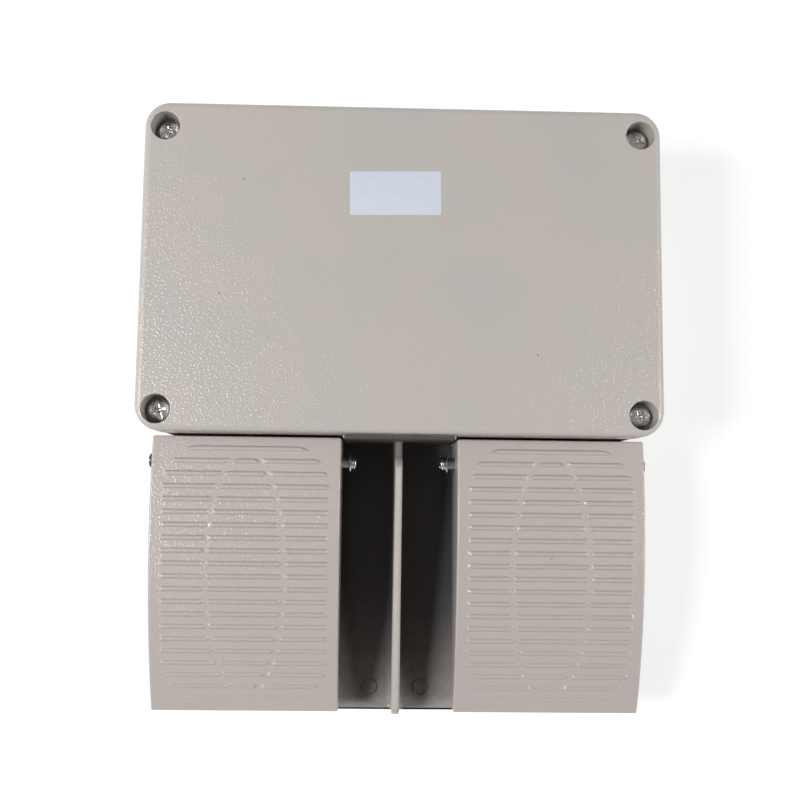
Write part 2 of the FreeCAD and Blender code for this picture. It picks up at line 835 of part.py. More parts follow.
def tab_places():
    return [pedal_mid_x + k * tab_pitch for k in (-1, 0, 1)]


def make_switch_plate():
    margin = switch_plate_margin
    half = switch_length / 2 + margin
    x0 = pedal_mid_x - half
    y0 = switch_front + margin
    y1 = y0 + switch_depth
    plate = rounded_block(x0, x0 + 2 * half, y0, y1, floor_top, switch_bottom, margin)
    bore = switch_screw_radius + fit_gap
    ends = (floor_top - through, switch_bottom + through)
    holes = [disc(x, y, ends[0], ends[1], bore) for x, y in switch_screw_places(1)]
    return plate.cut(fused_cut(holes))


def make_button():
    y0 = switch_front - button_stand
    button = rod_y(y0, switch_front + button_depth, pedal_mid_x, plunger_height, button_radius)
    rim = [e for e in button.Edges if abs(e.BoundBox.YMax - y0) < same_size]
    return button.makeFillet(button_tip_round, rim)


def make_switch_screws():
    screws = []
    top = switch_bottom + switch_thickness
    for side in (-1, 1):
        for x, y in switch_screw_places(side):
            head = pan_head(x, y, top, switch_head_radius, switch_head_height, side * pivot_screw_turn)
            tip = floor_top - switch_screw_bite
            screws.append(head.fuse(disc(x, y, tip, top + slot_width / 2, switch_screw_radius)))
    return group(screws)


def make_switch_tabs():
    tabs = []
    y0 = switch_front + switch_depth
    y1 = y0 + tab_thickness
    z0 = plunger_height - tab_height / 2
    for x in tab_places():
        tab = block(x - tab_width / 2, x + tab_width / 2, y0, y1, z0, z0 + tab_height)
        hole = rod_y(y0 - through, y1 + through, x, plunger_height, tab_screw_radius + fit_gap)
        tabs.append(tab.cut(hole))
    return group(tabs)


def make_tab_screws():
    screws = []
    y0 = switch_front + switch_depth + tab_thickness
    for x in tab_places():
        screw = pan_head(0, 0, 0, tab_head_radius, tab_head_height, pivot_screw_turn)
        length = tab_screw_length + tab_thickness - fit_gap
        screw = screw.fuse(disc(0, 0, -length, slot_width / 4, tab_screw_radius))
        screw.rotate(vec(0, 0, 0), vec(1, 0, 0), -90)
        screw.translate(vec(x, y0, plunger_height))
        screws.append(screw)
    return group(screws)


def strip_pole_places():
    return [(k - (strip_poles - 1) / 2) * strip_pitch for k in range(strip_poles)]


def strip_fixing_places():
    return [side * (strip_length - strip_pitch) / 2 for side in (-1, 1)]


def make_strip():
    z1 = floor_top + strip_height
    half = strip_depth / 2
    strip = block(-strip_length / 2, strip_length / 2, strip_y - half, strip_y + half, floor_top, z1)
    cuts = []
    for x in strip_pole_places():
        for end in (-1, 1):
            y = strip_y + end * strip_depth / 4
            cuts.append(disc(x, y, z1 - strip_cup_depth, z1 + through, strip_cup_radius))
    for x in strip_fixing_places():
        cuts.append(disc(x, strip_y, floor_top - through, z1 + through, strip_fixing_radius + fit_gap))
    return strip.cut(fused_cut(cuts))


def make_strip_screws():
    screws = []
    z = floor_top + strip_height - strip_cup_depth
    for x in strip_pole_places():
        for end in (-1, 1):
            y = strip_y + end * strip_depth / 4
            turn = end * pivot_screw_turn
            screws.append(pan_head(x, y, z, strip_screw_radius, strip_screw_height, turn))
    return group(screws)


def make_strip_fixings():
    screws = []
    top = floor_top + strip_height
    for x in strip_fixing_places():
        head = pan_head(x, strip_y, top, strip_head_radius, strip_screw_height, pivot_screw_turn)
        tip = floor_top - switch_screw_bite
        screws.append(head.fuse(disc(x, strip_y, tip, top + slot_width / 4, strip_fixing_radius)))
    return group(screws)


def make_earth_screw():
    top = floor_top + earth_boss_height
    head = pan_head(earth_x, earth_y, top, lid_head_radius, lid_head_height, pivot_screw_turn)
    tip = top - earth_screw_length
    return head.fuse(disc(earth_x, earth_y, tip, top + slot_width / 2, earth_screw_radius))


def make_feet():
    feet = []
    for x, y in foot_places:
        foot = Part.makeCone(foot_top_radius, foot_radius, foot_height, vec(x, y, 0), vec(0, 0, 1))
        foot = foot.cut(disc(x, y, -through, foot_cup_depth, foot_cup_radius))
        feet.append(foot.cut(disc(x, y, -through, foot_height + through, foot_screw_radius + pass_gap)))
    return group(feet)


def make_foot_screws():
    screws = []
    for x, y in foot_places:
        head = pan_head(0, 0, 0, foot_head_radius, foot_head_height, 0)
        screw = head.fuse(disc(0, 0, -foot_screw_length, slot_width / 4, foot_screw_radius))
        screw.rotate(vec(0, 0, 0), vec(1, 0, 0), 180)
        screw.translate(vec(x, y, foot_cup_depth))
        screws.append(screw)
    return group(screws)


def save(name, shape):
    if not shape.isValid():
        print("not valid:", name)
    shape.exportStep("parts/" + name + ".step")
    print(name, len(shape.Solids), round(shape.Volume, 1))


def main():
    os.makedirs("parts", exist_ok=True)
    save("base_casting", make_base())
    save("lid", make_lid())
    save("lid_gasket", make_gasket())
    save("lid_screws", make_lid_screws())
    save("lid_spring_washers", make_lid_washers())
    save("label", make_label())
    pairs = {
        "pedal": make_pedal(),
        "pivot_shaft": make_shaft(),
        "pivot_washers": make_pivot_washers(),
        "pivot_spring_washers": make_pivot_spring_washers(),
        "pivot_screws": make_pivot_screws(),
        "return_spring": make_spring(),
        "bump_stop": make_bump_stop(),
        "rest_stop": make_rest_stop(),
        "plunger": make_plunger(),
        "plunger_clip": make_clip(),
        "guide_bush": make_bush(),
        "wiper_seal": make_seal(),
        "bush_nut": make_bush_nut(),
        "switch_body": make_switch_body(),
        "switch_button": make_button(),
        "switch_plate": make_switch_plate(),
        "switch_tabs": make_switch_tabs(),
        "tab_screws": make_tab_screws(),
    }
    for name, shape in pairs.items():
        save("right_" + name, shape)
        save("left_" + name, mirrored(shape))
    save("switch_screws", make_switch_screws())
    save("terminal_strip", make_strip())
    save("terminal_screws", make_strip_screws())
    save("strip_fixing_screws", make_strip_fixings())
    save("earth_screw", make_earth_screw())
    save("rubber_feet", make_feet())
    save("foot_screws", make_foot_screws())


main()
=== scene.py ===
import json
import math
import bpy
import bmesh
import numpy as np
from mathutils import Matrix, Vector


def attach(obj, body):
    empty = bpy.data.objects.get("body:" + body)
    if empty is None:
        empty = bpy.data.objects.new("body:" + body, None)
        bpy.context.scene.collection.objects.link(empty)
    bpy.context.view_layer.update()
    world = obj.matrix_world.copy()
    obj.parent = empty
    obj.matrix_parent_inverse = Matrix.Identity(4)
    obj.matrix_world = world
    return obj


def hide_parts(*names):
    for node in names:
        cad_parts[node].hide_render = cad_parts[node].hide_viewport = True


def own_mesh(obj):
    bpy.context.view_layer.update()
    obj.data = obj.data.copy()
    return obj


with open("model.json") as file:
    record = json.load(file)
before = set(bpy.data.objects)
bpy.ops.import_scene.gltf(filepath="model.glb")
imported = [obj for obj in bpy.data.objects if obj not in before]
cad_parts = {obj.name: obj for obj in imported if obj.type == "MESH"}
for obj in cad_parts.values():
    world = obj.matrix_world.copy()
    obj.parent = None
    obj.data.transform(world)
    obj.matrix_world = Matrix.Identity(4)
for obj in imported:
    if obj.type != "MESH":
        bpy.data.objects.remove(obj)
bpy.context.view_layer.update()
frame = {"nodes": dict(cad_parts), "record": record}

mm = 0.001
lap = 1.0  # how far shapes run into each other before they are joined or cut, in millimetres
scene = bpy.context.scene
sides = {"left": -1, "right": 1}
print("frame loaded:", len(frame["nodes"]), "nodes")


# node helpers for the finishes
def newFinish(name):
    material = bpy.data.materials.new(name)
    material.use_nodes = True
    tree = material.node_tree
    shader = tree.nodes["Principled BSDF"]
    where = tree.nodes.new("ShaderNodeTexCoord").outputs["Object"]
    return material, tree, shader, where


def setInputs(tree, node, values):
    # a socket is linked, anything else is the input's own value
    for key, value in values.items():
        if isinstance(value, bpy.types.NodeSocket):
            tree.links.new(value, node.inputs[key])
        else:
            node.inputs[key].default_value = value


def addNoise(tree, where, scale, detail=2.0, roughness=0.5):
    node = tree.nodes.new("ShaderNodeTexNoise")
    setInputs(tree, node, {"Vector": where, "Scale": scale, "Detail": detail, "Roughness": roughness})
    return node.outputs["Fac"]


def addCells(tree, where, scale):
    node = tree.nodes.new("ShaderNodeTexVoronoi")
    setInputs(tree, node, {"Vector": where, "Scale": scale})
    return node.outputs["Distance"]


def addRange(tree, value, fromLow, fromHigh, toLow, toHigh, smooth=False):
    node = tree.nodes.new("ShaderNodeMapRange")
    node.interpolation_type = "SMOOTHSTEP" if smooth else "LINEAR"
    spans = {"From Min": fromLow, "From Max": fromHigh, "To Min": toLow, "To Max": toHigh}
    setInputs(tree, node, {"Value": value, **spans})
    return node.outputs["Result"]


def addMath(tree, way, first, second):
    node = tree.nodes.new("ShaderNodeMath")
    node.operation = way
    setInputs(tree, node, {0: first, 1: second})
    return node.outputs["Value"]


def addMix(tree, factor, first, second):
    node = tree.nodes.new("ShaderNodeMix")
    node.data_type = "RGBA"
    tree.links.new(factor, node.inputs["Factor"])
    for key, value in (("A", first), ("B", second)):
        socket = [s for s in node.inputs if s.name == key and s.type == "RGBA"][0]
        if isinstance(value, tuple):
            socket.default_value = (*value, 1.0)
        else:
            tree.links.new(value, socket)
    return [s for s in node.outputs if s.type == "RGBA"][0]


def addBump(tree, height, depth, under=None):
    node = tree.nodes.new("ShaderNodeBump")
    setInputs(tree, node, {"Height": height, "Distance": depth})
    if under:
        tree.links.new(under, node.inputs["Normal"])
    return node.outputs["Normal"]


def addDomes(tree, where, scale, rim):
    # low domes, one to a cell, each steeper towards its rim, and level ground between them
    reach = addMath(tree, "MINIMUM", addCells(tree, where, scale), rim)
    return addMath(tree, "SUBTRACT", 1.0, addMath(tree, "MULTIPLY", reach, reach))


# the coat: warm grey powder with an orange-peel skin that catches the light in specks
coatFacts = {
    "tone": (0.475, 0.437, 0.408), "warm": (0.484, 0.442, 0.412), "cool": (0.462, 0.432, 0.408),
    "peelScale": 740.0, "peelDepth": 0.00038, "peelRim": 0.63, "underDepth": 0.00006,
    "clearRoughness": 0.1, "clearShare": 0.8, "roughness": 0.4, "specular": 0.25,
    "grainScale": 1900.0, "grainDepth": 0.00003, "glossScale": 90.0,
    "driftScale": 22.0, "fineScale": 700.0, "fineShare": 0.35,
    "pinholeScale": 62.0, "pinholeSize": (0.018, 0.035), "pinholeShare": 0.8, "pinholeTone": (0.16, 0.145, 0.135),
}
# the pedals' coat is a little warmer than the lid's, and a little darker as painted shade
pedalWarmShadedCoatFacts = {
    **coatFacts, "tone": (0.444, 0.395, 0.371), "warm": (0.452, 0.399, 0.374), "cool": (0.434, 0.39, 0.369),
}


def coatFinish(name, facts):
    material, tree, shader, where = newFinish(name)
    drift = addRange(tree, addNoise(tree, where, facts["driftScale"]), 0.35, 0.65, 0.0, 1.0)
    colour = addMix(tree, drift, facts["warm"], facts["cool"])
    fine = addRange(tree, addNoise(tree, where, facts["fineScale"]), 0.3, 0.7, 0.0, facts["fineShare"])
    colour = addMix(tree, fine, colour, facts["tone"])
    # a few dark pinholes in the coat
    pits = addCells(tree, where, facts["pinholeScale"])
    pinhole = addRange(tree, pits, *facts["pinholeSize"], facts["pinholeShare"], 0.0)
    colour = addMix(tree, pinhole, colour, facts["pinholeTone"])
    low, high = facts["roughness"] - 0.04, facts["roughness"] + 0.05
    gloss = addRange(tree, addNoise(tree, where, facts["glossScale"]), 0.3, 0.7, low, high)
    # the clear skin follows the domes, the pigment under it lies flatter
    domes = addDomes(tree, where, facts["peelScale"], facts["peelRim"])
    grain = addNoise(tree, where, facts["grainScale"], 1.0)
    normal = addBump(tree, domes, facts["underDepth"])
    setInputs(tree, shader, {
        "Base Color": colour, "Roughness": gloss, "Specular IOR Level": facts["specular"],
        "Normal": addBump(tree, grain, facts["grainDepth"], normal),
        "Coat Weight": facts["clearShare"], "Coat Roughness": facts["clearRoughness"],
        "Coat Normal": addBump(tree, domes, facts["peelDepth"]),
    })
    return material


# painted shade on the plate deep between the pedals: its coat is coloured dark at the rear and lighter towards the open
# front, with cloudy unevenness; lengths in metres
recessShadeFacts = {
    "deep": (0.1, 0.095, 0.093), "open": (0.35, 0.325, 0.31), "rearY": -0.07, "frontY": -0.143,
    "fade": 2.3, "cloudScale": 130.0, "dimple": 0.0003, "roughness": 0.6, "specular": 0.15,
    "crestSlope": 0.153, "shadeTop": 0.037, "unshadedFrom": 0.05, "webReach": 0.0022, "wallY": -0.0118,
}


def recessShadeFinish(facts):
    material, tree, shader, where = newFinish("recessShadeCoat")
    split = tree.nodes.new("ShaderNodeSeparateXYZ")
    tree.links.new(where, split.inputs[0])
    along = addRange(tree, split.outputs["Y"], facts["rearY"], facts["frontY"], 0.0, 1.0)
    along = addMath(tree, "POWER", along, facts["fade"])
    cloud = addRange(tree, addNoise(tree, where, facts["cloudScale"], 3.0), 0.3, 0.7, 0.75, 1.25)
    along = addMath(tree, "MULTIPLY", along, cloud)
    colour = addMix(tree, along, facts["deep"], facts["open"])
    # painted shade: the upright web goes from the dark painted shade to the plain coat towards its sloping crest
    lean = addMath(tree, "MULTIPLY", split.outputs["Y"], facts["crestSlope"])
    crest = addMath(tree, "SUBTRACT", split.outputs["Z"], lean)
    unshaded = addRange(tree, crest, facts["shadeTop"], facts["unshadedFrom"], 0.0, 1.0, True)
    aside = addMath(tree, "ABSOLUTE", split.outputs["X"], 0.0)
    unshaded = addMath(tree, "MULTIPLY", unshaded, addMath(tree, "LESS_THAN", aside, facts["webReach"]))
    unshaded = addMath(tree, "MULTIPLY", unshaded, addMath(tree, "LESS_THAN", split.outputs["Y"], facts["wallY"]))
    colour = addMix(tree, unshaded, colour, coatFacts["tone"])
    domes = addDomes(tree, where, coatFacts["peelScale"], coatFacts["peelRim"])
    setInputs(tree, shader, {
        "Base Color": colour, "Roughness": facts["roughness"], "Specular IOR Level": facts["specular"],
        "Normal": addBump(tree, domes, facts["dimple"]),
    })
    return material


metalFacts = {"cloudScale": 260.0, "glossScale": 420.0, "scratchScale": 900.0, "scratchDepth": 0.00002}
softFacts = {"cloudScale": 180.0, "glossScale": 300.0}


def metalFinish(name, tone, dark, roughness):
    material, tree, shader, where = newFinish(name)
    cloud = addRange(tree, addNoise(tree, where, metalFacts["cloudScale"], 3.0), 0.35, 0.7, 0.0, 1.0)
    colour = addMix(tree, cloud, tone, dark)
    patches = addNoise(tree, where, metalFacts["glossScale"], 3.0)
    gloss = addRange(tree, patches, 0.3, 0.7, roughness * 0.8, roughness * 1.3)
    fine = addNoise(tree, where, metalFacts["scratchScale"], 3.0, 0.6)
    normal = addBump(tree, fine, metalFacts["scratchDepth"])
    setInputs(tree, shader, {"Base Color": colour, "Roughness": gloss, "Normal": normal, "Metallic": 1.0})
    return material


def softFinish(name, tone, dark, roughness, scale=700.0, bump=0.00003, specular=0.5):
    material, tree, shader, where = newFinish(name)
    cloud = addRange(tree, addNoise(tree, where, softFacts["cloudScale"], 3.0), 0.35, 0.65, 0.0, 1.0)
    colour = addMix(tree, cloud, tone, dark)
    patches = addNoise(tree, where, softFacts["glossScale"])
    gloss = addRange(tree, patches, 0.3, 0.7, roughness - 0.05, roughness + 0.06)
    normal = addBump(tree, addNoise(tree, where, scale), bump)
    setInputs(tree, shader, {"Base Color": colour, "Roughness": gloss, "Normal": normal})
    setInputs(tree, shader, {"Specular IOR Level": specular})
    return material


finishes = {
    "casting_paint": coatFinish("castingCoat", coatFacts),
    "pedal": coatFinish("pedalWarmShadedCoat", pedalWarmShadedCoatFacts),
    "zinc_steel": metalFinish("zincPlate", (0.8, 0.8, 0.79), (0.5, 0.5, 0.5), 0.2),
    # painted shade: the pivot plate and, darker still, the shaft steel are darkened copies of the zinc-plated steel,
    # standing in for the shade and dark reflections between the pedals
    "pivot": metalFinish("pivotShadedPlate", (0.62, 0.62, 0.61), (0.4, 0.4, 0.4), 0.17),
    "shaft": metalFinish("shaftShadedSteel", (0.3, 0.3, 0.3), (0.2, 0.2, 0.2), 0.42),
    # painted shade: a near-black copy of the plating for the outer ends, standing in for their shade and dark
    # reflections
    "outer": metalFinish("outerShadedPlate", (0.1, 0.1, 0.1), (0.05, 0.05, 0.05), 0.4),
    "spring_steel": metalFinish("springWire", (0.42, 0.43, 0.45), (0.3, 0.3, 0.31), 0.32),
    "plunger_steel": metalFinish("groundSteel", (0.62, 0.62, 0.63), (0.5, 0.5, 0.51), 0.22),
    "brass": metalFinish("turnedBrass", (0.7, 0.5, 0.22), (0.55, 0.38, 0.15), 0.26),
    "black_rubber": softFinish("blackRubber", (0.022, 0.021, 0.02), (0.034, 0.032, 0.03), 0.68),
    "black_plastic": softFinish("phenolicBlack", (0.03, 0.03, 0.032), (0.045, 0.045, 0.046), 0.42),
    "red_plastic": softFinish("buttonRed", (0.42, 0.022, 0.016), (0.36, 0.018, 0.012), 0.32),
    "pale_plastic": softFinish("stripPlastic", (0.68, 0.65, 0.56), (0.62, 0.58, 0.5), 0.45),
    "pale_label": softFinish(
        "labelFilm", (0.595, 0.637, 0.712), (0.575, 0.617, 0.695), 0.42, scale=1500.0, bump=0.000012, specular=0.4,
    ),
}
recessShadeCoat = recessShadeFinish(recessShadeFacts)
print("finishes made:", len(finishes) + 1)


# mesh helpers, in millimetres until a mesh is made
def buildMesh(name, points, faces, sharpAngle=38.0, weld=0.002):
    mesh = bpy.data.meshes.new(name)
    mesh.from_pydata((np.asarray(points, float) * mm).tolist(), [], faces)
    shape = bmesh.new()
    shape.from_mesh(mesh)
    bmesh.ops.remove_doubles(shape, verts=shape.verts, dist=weld * mm)
    bmesh.ops.recalc_face_normals(shape, faces=shape.faces)
    shape.to_mesh(mesh)
    shape.free()
    smoothMesh(mesh, sharpAngle)
    return mesh


def smoothMesh(mesh, sharpAngle):
    mesh.shade_smooth()
    mesh.set_sharp_from_angle(angle=math.radians(sharpAngle))


def joined(*shapes):
    points, faces = [], []
    for somePoints, someFaces in shapes:
        start = len(points)
        points += [tuple(p) for p in somePoints]
        faces += [tuple(start + i for i in face) for face in someFaces]
    return points, faces


def placed(shape, x, y, z, turn=0.0, axis="Z"):
    matrix = Matrix.Translation((x, y, z)) @ Matrix.Rotation(math.radians(turn), 4, axis)
    return [tuple(matrix @ Vector(p)) for p in shape[0]], shape[1]


def alongX(shape, x, y, z, way=1):
    return placed(shape, x, y, z, 90 * way, "Y")


def alongY(shape, x, y, z):
    return placed(shape, x, y, z, -90, "X")


def mirroredX(shape):
    return [(-x, y, z) for x, y, z in shape[0]], [tuple(reversed(face)) for face in shape[1]]


def prism(outline, low, high):
    n = len(outline)
    points = [(x, y, low) for x, y in outline] + [(x, y, high) for x, y in outline]
    faces = [tuple(range(n - 1, -1, -1)), tuple(range(n, 2 * n))]
    faces += [(i, (i + 1) % n, n + (i + 1) % n, n + i) for i in range(n)]
    return points, faces


def sidePrism(outline, x0, x1):
    # outline of (y, z), pushed along X
    points, faces = prism(outline, x0, x1)
    return [(z, x, y) for x, y, z in points], faces


def block(x0, x1, y0, y1, z0, z1):
    return prism([(x0, y0), (x1, y0), (x1, y1), (x0, y1)], z0, z1)


def fan(start, steps, sweep=90.0):
    # angles from start on, given in degrees and returned in radians
    return [math.radians(start + sweep * k / steps) for k in range(steps + 1)]


def roundedOutline(x0, x1, y0, y1, corner, steps):
    outline = []
    left, right, front, rear = x0 + corner, x1 - corner, y0 + corner, y1 - corner
    centres = ((right, front, -90), (right, rear, 0), (left, rear, 90), (left, front, 180))
    for cx, cy, start in centres:
        outline += [(cx + corner * math.cos(a), cy + corner * math.sin(a)) for a in fan(start, steps)]
    return outline


def circle(x, y, radius, steps=48):
    angles = [2 * math.pi * k / steps for k in range(steps)]
    return [(x + radius * math.cos(a), y + radius * math.sin(a)) for a in angles]


def notchedOutline(half, y0, y1, notch):
    # rectangle that leaves a square block in each corner
    low, high = y0 + notch, y1 - notch
    inner = half - notch
    return [
        (-inner, y0), (inner, y0), (inner, low), (half, low), (half, high), (inner, high),
        (inner, y1), (-inner, y1), (-inner, high), (-half, high), (-half, low), (-inner, low),
    ]


def disc(x, y, z0, z1, radius, steps=48):
    return prism(circle(x, y, radius, steps), z0, z1)


def turned(profile, steps=48, closed=False):
    # profile of (radius, height) round the Z axis; a radius of 0 lies on the axis
    points, rings, faces = [], [], []
    for radius, height in profile:
        if radius < 1e-6:
            rings.append([len(points)])
            points.append((0.0, 0.0, height))
        else:
            rings.append(list(range(len(points), len(points) + steps)))
            points += [(x, y, height) for x, y in circle(0, 0, radius, steps)]
    pairs = list(zip(rings, rings[1:])) + ([(rings[-1], rings[0])] if closed else [])
    for low, high in pairs:
        for k in range(steps):
            a = low[k % len(low)]
            b = low[(k + 1) % len(low)]
            c = high[(k + 1) % len(high)]
            d = high[k % len(high)]
            face = tuple(dict.fromkeys((a, b, c, d)))
            if len(face) > 2:
                faces.append(face)
    return points, faces


def rod(radius, length, steps):
    return turned([(0.0, 0.0), (radius, 0.0), (radius, length), (0.0, length)], steps)


def addObject(name, data):
    thing = bpy.data.objects.new(name, data)
    scene.collection.objects.link(thing)
    return thing


def settled(thing):
    # the mesh of an object with its modifiers applied
    bpy.context.view_layer.update()
    return bpy.data.meshes.new_from_object(thing.evaluated_get(bpy.context.evaluated_depsgraph_get()))


def shapeOf(mesh):
    return [tuple(v.co / mm) for v in mesh.vertices], [tuple(face.vertices) for face in mesh.polygons]


def addBoolean(holder, way):
    cut = holder.modifiers.new(way, "BOOLEAN")
    cut.operation, cut.solver = way, "EXACT"
    return cut


def carved(name, body, extras, cutters):
    # one closed mesh: body plus the extras, less the cutters
    holder = addObject(name, buildMesh(name, *body))
    made, groups = [holder], []
    for way, shapes in (("UNION", extras), ("DIFFERENCE", cutters)):
        if not shapes:
            continue
        tools = bpy.data.collections.new(name + way.lower())
        scene.collection.children.link(tools)
        groups.append(tools)
        for k, shape in enumerate(shapes):
            tool = bpy.data.objects.new(name + way.lower() + str(k), buildMesh(name + "tool", *shape))
            tools.objects.link(tool)
            made.append(tool)
        cut = addBoolean(holder, way)
        cut.operand_type = "COLLECTION"
        cut.collection = tools
    mesh = settled(holder)
    for thing in made:
        bpy.data.objects.remove(thing)
    for tools in groups:
        bpy.data.collections.remove(tools)
    mesh.name = name
    return mesh


def carvedAgain(mesh, cutter):
    holder, tool = addObject("holder", mesh), addObject("tool", buildMesh("tool", *cutter))
    addBoolean(holder, "DIFFERENCE").object = tool
    result = settled(holder)
    for thing in (holder, tool):
        bpy.data.objects.remove(thing)
    return result


def addPiece(name, mesh, body, slotName, stands=(), finish=None):
    piece = addObject(name, mesh)
    if not mesh.materials:
        mesh.materials.append(finishes[finish or slotName])
    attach(piece, body)
    if stands:
        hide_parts(*stands)
    return piece


def softenEdges(piece, width, angle=40.0):
    bevel = piece.modifiers.new("softEdges", "BEVEL")
    bevel.width = width * mm
    bevel.segments = 2
    bevel.limit_method = "ANGLE"
    bevel.angle_limit = math.radians(angle)
    bevel.use_clamp_overlap = False
    bevel.miter_outer = "MITER_ARC"
    mesh = settled(piece)
    piece.modifiers.remove(bevel)
    piece.data = mesh
    smoothMesh(mesh, 50.0)


# lid: rounded cover with four deep screw pockets
lidFacts = {
    "halfWidth": 121.5, "front": -10.1, "rear": 144.5, "bottom": 56.0, "top": 72.0,
    "corner": 12.0, "edgeRound": 3.5, "lowerRound": 0.5, "cornerSteps": 16, "roundSteps": 8,
    "pocketX": 111.5, "pocketFront": -0.2, "pocketRear": 132.6, "pocketRadius": 6.7, "mouthRound": 0.55,
    "seat": 60.0, "screwHole": 2.8, "pocketSteps": 64, "mouthSteps": 4, "wall": 5.0, "roof": 4.0, "notch": 21.0,
}
pocketYs = (lidFacts["pocketFront"], lidFacts["pocketRear"])
pocketPlaces = [(side * lidFacts["pocketX"], y) for side in (-1, 1) for y in pocketYs]


def looped(rings):
    # rings of equal count, bottom to top, closed by a face at each end
    n = len(rings[0])
    points = [p for loop in rings for p in loop]
    faces = [tuple(range(n - 1, -1, -1)), tuple(range((len(rings) - 1) * n, len(rings) * n))]
    for level in range(len(rings) - 1):
        low, high = level * n, (level + 1) * n
        faces += [(low + k, low + (k + 1) % n, high + (k + 1) % n, high + k) for k in range(n)]
    return points, faces


def makeLid(facts):
    low, high, radius, lower = facts["bottom"], facts["top"], facts["edgeRound"], facts["lowerRound"]
    levels = [(lower, low), (lower * 0.3, low + lower * 0.3), (0.0, low + lower)]
    for angle in fan(0.0, facts["roundSteps"]):
        levels.append((radius * (1 - math.cos(angle)), high - radius + radius * math.sin(angle)))
    rings = []
    for inset, z in levels:
        half, corner = facts["halfWidth"] - inset, facts["corner"] - inset
        front, rear = facts["front"] + inset, facts["rear"] - inset
        outline = roundedOutline(-half, half, front, rear, corner, facts["cornerSteps"])
        rings.append([(x, y, z) for x, y in outline])
    # pockets with a rounded mouth, each over its screw hole
    pocket, mouth, seat = facts["pocketRadius"], facts["mouthRound"], facts["seat"]
    profile = [(0.0, low - lap), (facts["screwHole"], low - lap), (facts["screwHole"], seat)]
    profile += [(pocket - 0.6, seat), (pocket - 0.2, seat + 0.15), (pocket, seat + 0.6)]
    for angle in fan(0.0, facts["mouthSteps"]):
        profile.append((pocket + mouth * (1 - math.cos(angle)), high - mouth + mouth * math.sin(angle)))
    profile += [(pocket + mouth, high + lap), (0.0, high + lap)]
    tool = turned(profile, facts["pocketSteps"])
    cutters = [placed(tool, x, y, 0.0) for x, y in pocketPlaces]
    # hollow underside, with a block left round each screw
    wall = facts["wall"]
    hollow = notchedOutline(facts["halfWidth"] - wall, facts["front"] + wall, facts["rear"] - wall, facts["notch"])
    cutters.append(prism(hollow, low - lap, high - facts["roof"]))
    mesh = carved("lidShell", looped(rings), (), cutters)
    smoothMesh(mesh, 35.0)
    return mesh


lid = addPiece("lidCover", makeLid(lidFacts), "housing", "casting_paint", ["lid"])
flat = lid.modifiers.new("evenShade", "WEIGHTED_NORMAL")
flat.keep_sharp = True
print("lid made:", len(lid.data.vertices), "points")


# bare label on the lid
labelFacts = {
    "width": 42.5, "length": 20.8, "x": -3.8, "y": 102.1, "turn": 1.2, "base": 72.0, "thick": 0.15, "corner": 0.8,
}


def makeLabel(facts):
    halfX, halfY, thick = facts["width"] / 2, facts["length"] / 2, facts["thick"]
    rings = []
    for inset, z in ((0.0, 0.0), (0.0, thick * 0.6), (0.05, thick * 0.9), (0.12, thick)):
        outline = roundedOutline(-halfX + inset, halfX - inset, -halfY + inset, halfY - inset, facts["corner"], 6)
        rings.append([(x, y, z) for x, y in outline])
    shape = placed(looped(rings), facts["x"], facts["y"], facts["base"], facts["turn"])
    return buildMesh("labelFilm", *shape, weld=0.0005)


addPiece("bareLabel", makeLabel(labelFacts), "housing", "pale_label", ["label"])


# screws with a pan head, a slot and a cross recess
def panHead(facts):
    radius, height, slot = facts["headRadius"], facts["headHeight"], facts["slot"]
    shank, length = facts["shank"], facts["shankLength"]
    edge = min(radius, height) * 0.45
    profile = [(0.0, -length), (shank * 0.75, -length), (shank, -length + shank * 0.3), (shank, 0.0)]
    profile += [(radius - 0.15, 0.0), (radius, 0.15)]
    crown = radius * 2.1
    rise = crown - math.sqrt(crown**2 - (radius - edge) ** 2)
    for angle in fan(0.0, 4):
        profile.append((radius - edge + edge * math.cos(angle), height - rise - edge + edge * math.sin(angle)))
    for share in (0.75, 0.5, 0.25):
        r = (radius - edge) * share
        profile.append((r, height - (crown - math.sqrt(crown**2 - r**2))))
    profile.append((0.0, height))
    head = turned(profile, 56)
    half, top, low = slot / 2, height + lap, height - facts["slotDepth"]
    reach, arm = radius * facts["slotReach"], radius * facts["crossReach"]
    cutters = [block(-reach, reach, -half, half, low, top), block(-half, half, -arm, arm, low, top)]
    # the middle of the cross goes deeper and flares
    recess = [(0.0, low - 0.9), (slot * 0.45, low - 0.5), (slot * 0.9, low + 0.3), (slot * 1.3, top), (0.0, top)]
    cutters.append(turned(recess, 8))
    holder = addObject("panHeadHolder", carved("panHead", head, (), cutters))
    softenEdges(holder, 0.14, 35.0)
    shape = shapeOf(holder.data)
    bpy.data.objects.remove(holder)
    return shape


# turns of the slots: front left, rear left, front right, rear right
lidScrewFacts = {
    "headRadius": 5.0, "headHeight": 3.6, "shank": 2.45, "shankLength": 22.0, "slot": 1.7, "slotDepth": 1.3,
    "slotReach": 1.1, "crossReach": 0.6, "under": 61.3, "turns": (105.0, 38.0, 12.0, 152.0),
}


def makeLidScrews(facts):
    head = panHead(facts)
    screws = [placed(head, x, y, facts["under"], turn) for (x, y), turn in zip(pocketPlaces, facts["turns"])]
    return buildMesh("lidScrewSet", *joined(*screws), weld=0.0002)


addPiece("lidScrewSet", makeLidScrews(lidScrewFacts), "housing", "zinc_steel", ["lid_screws"])
print("label and lid screws made")


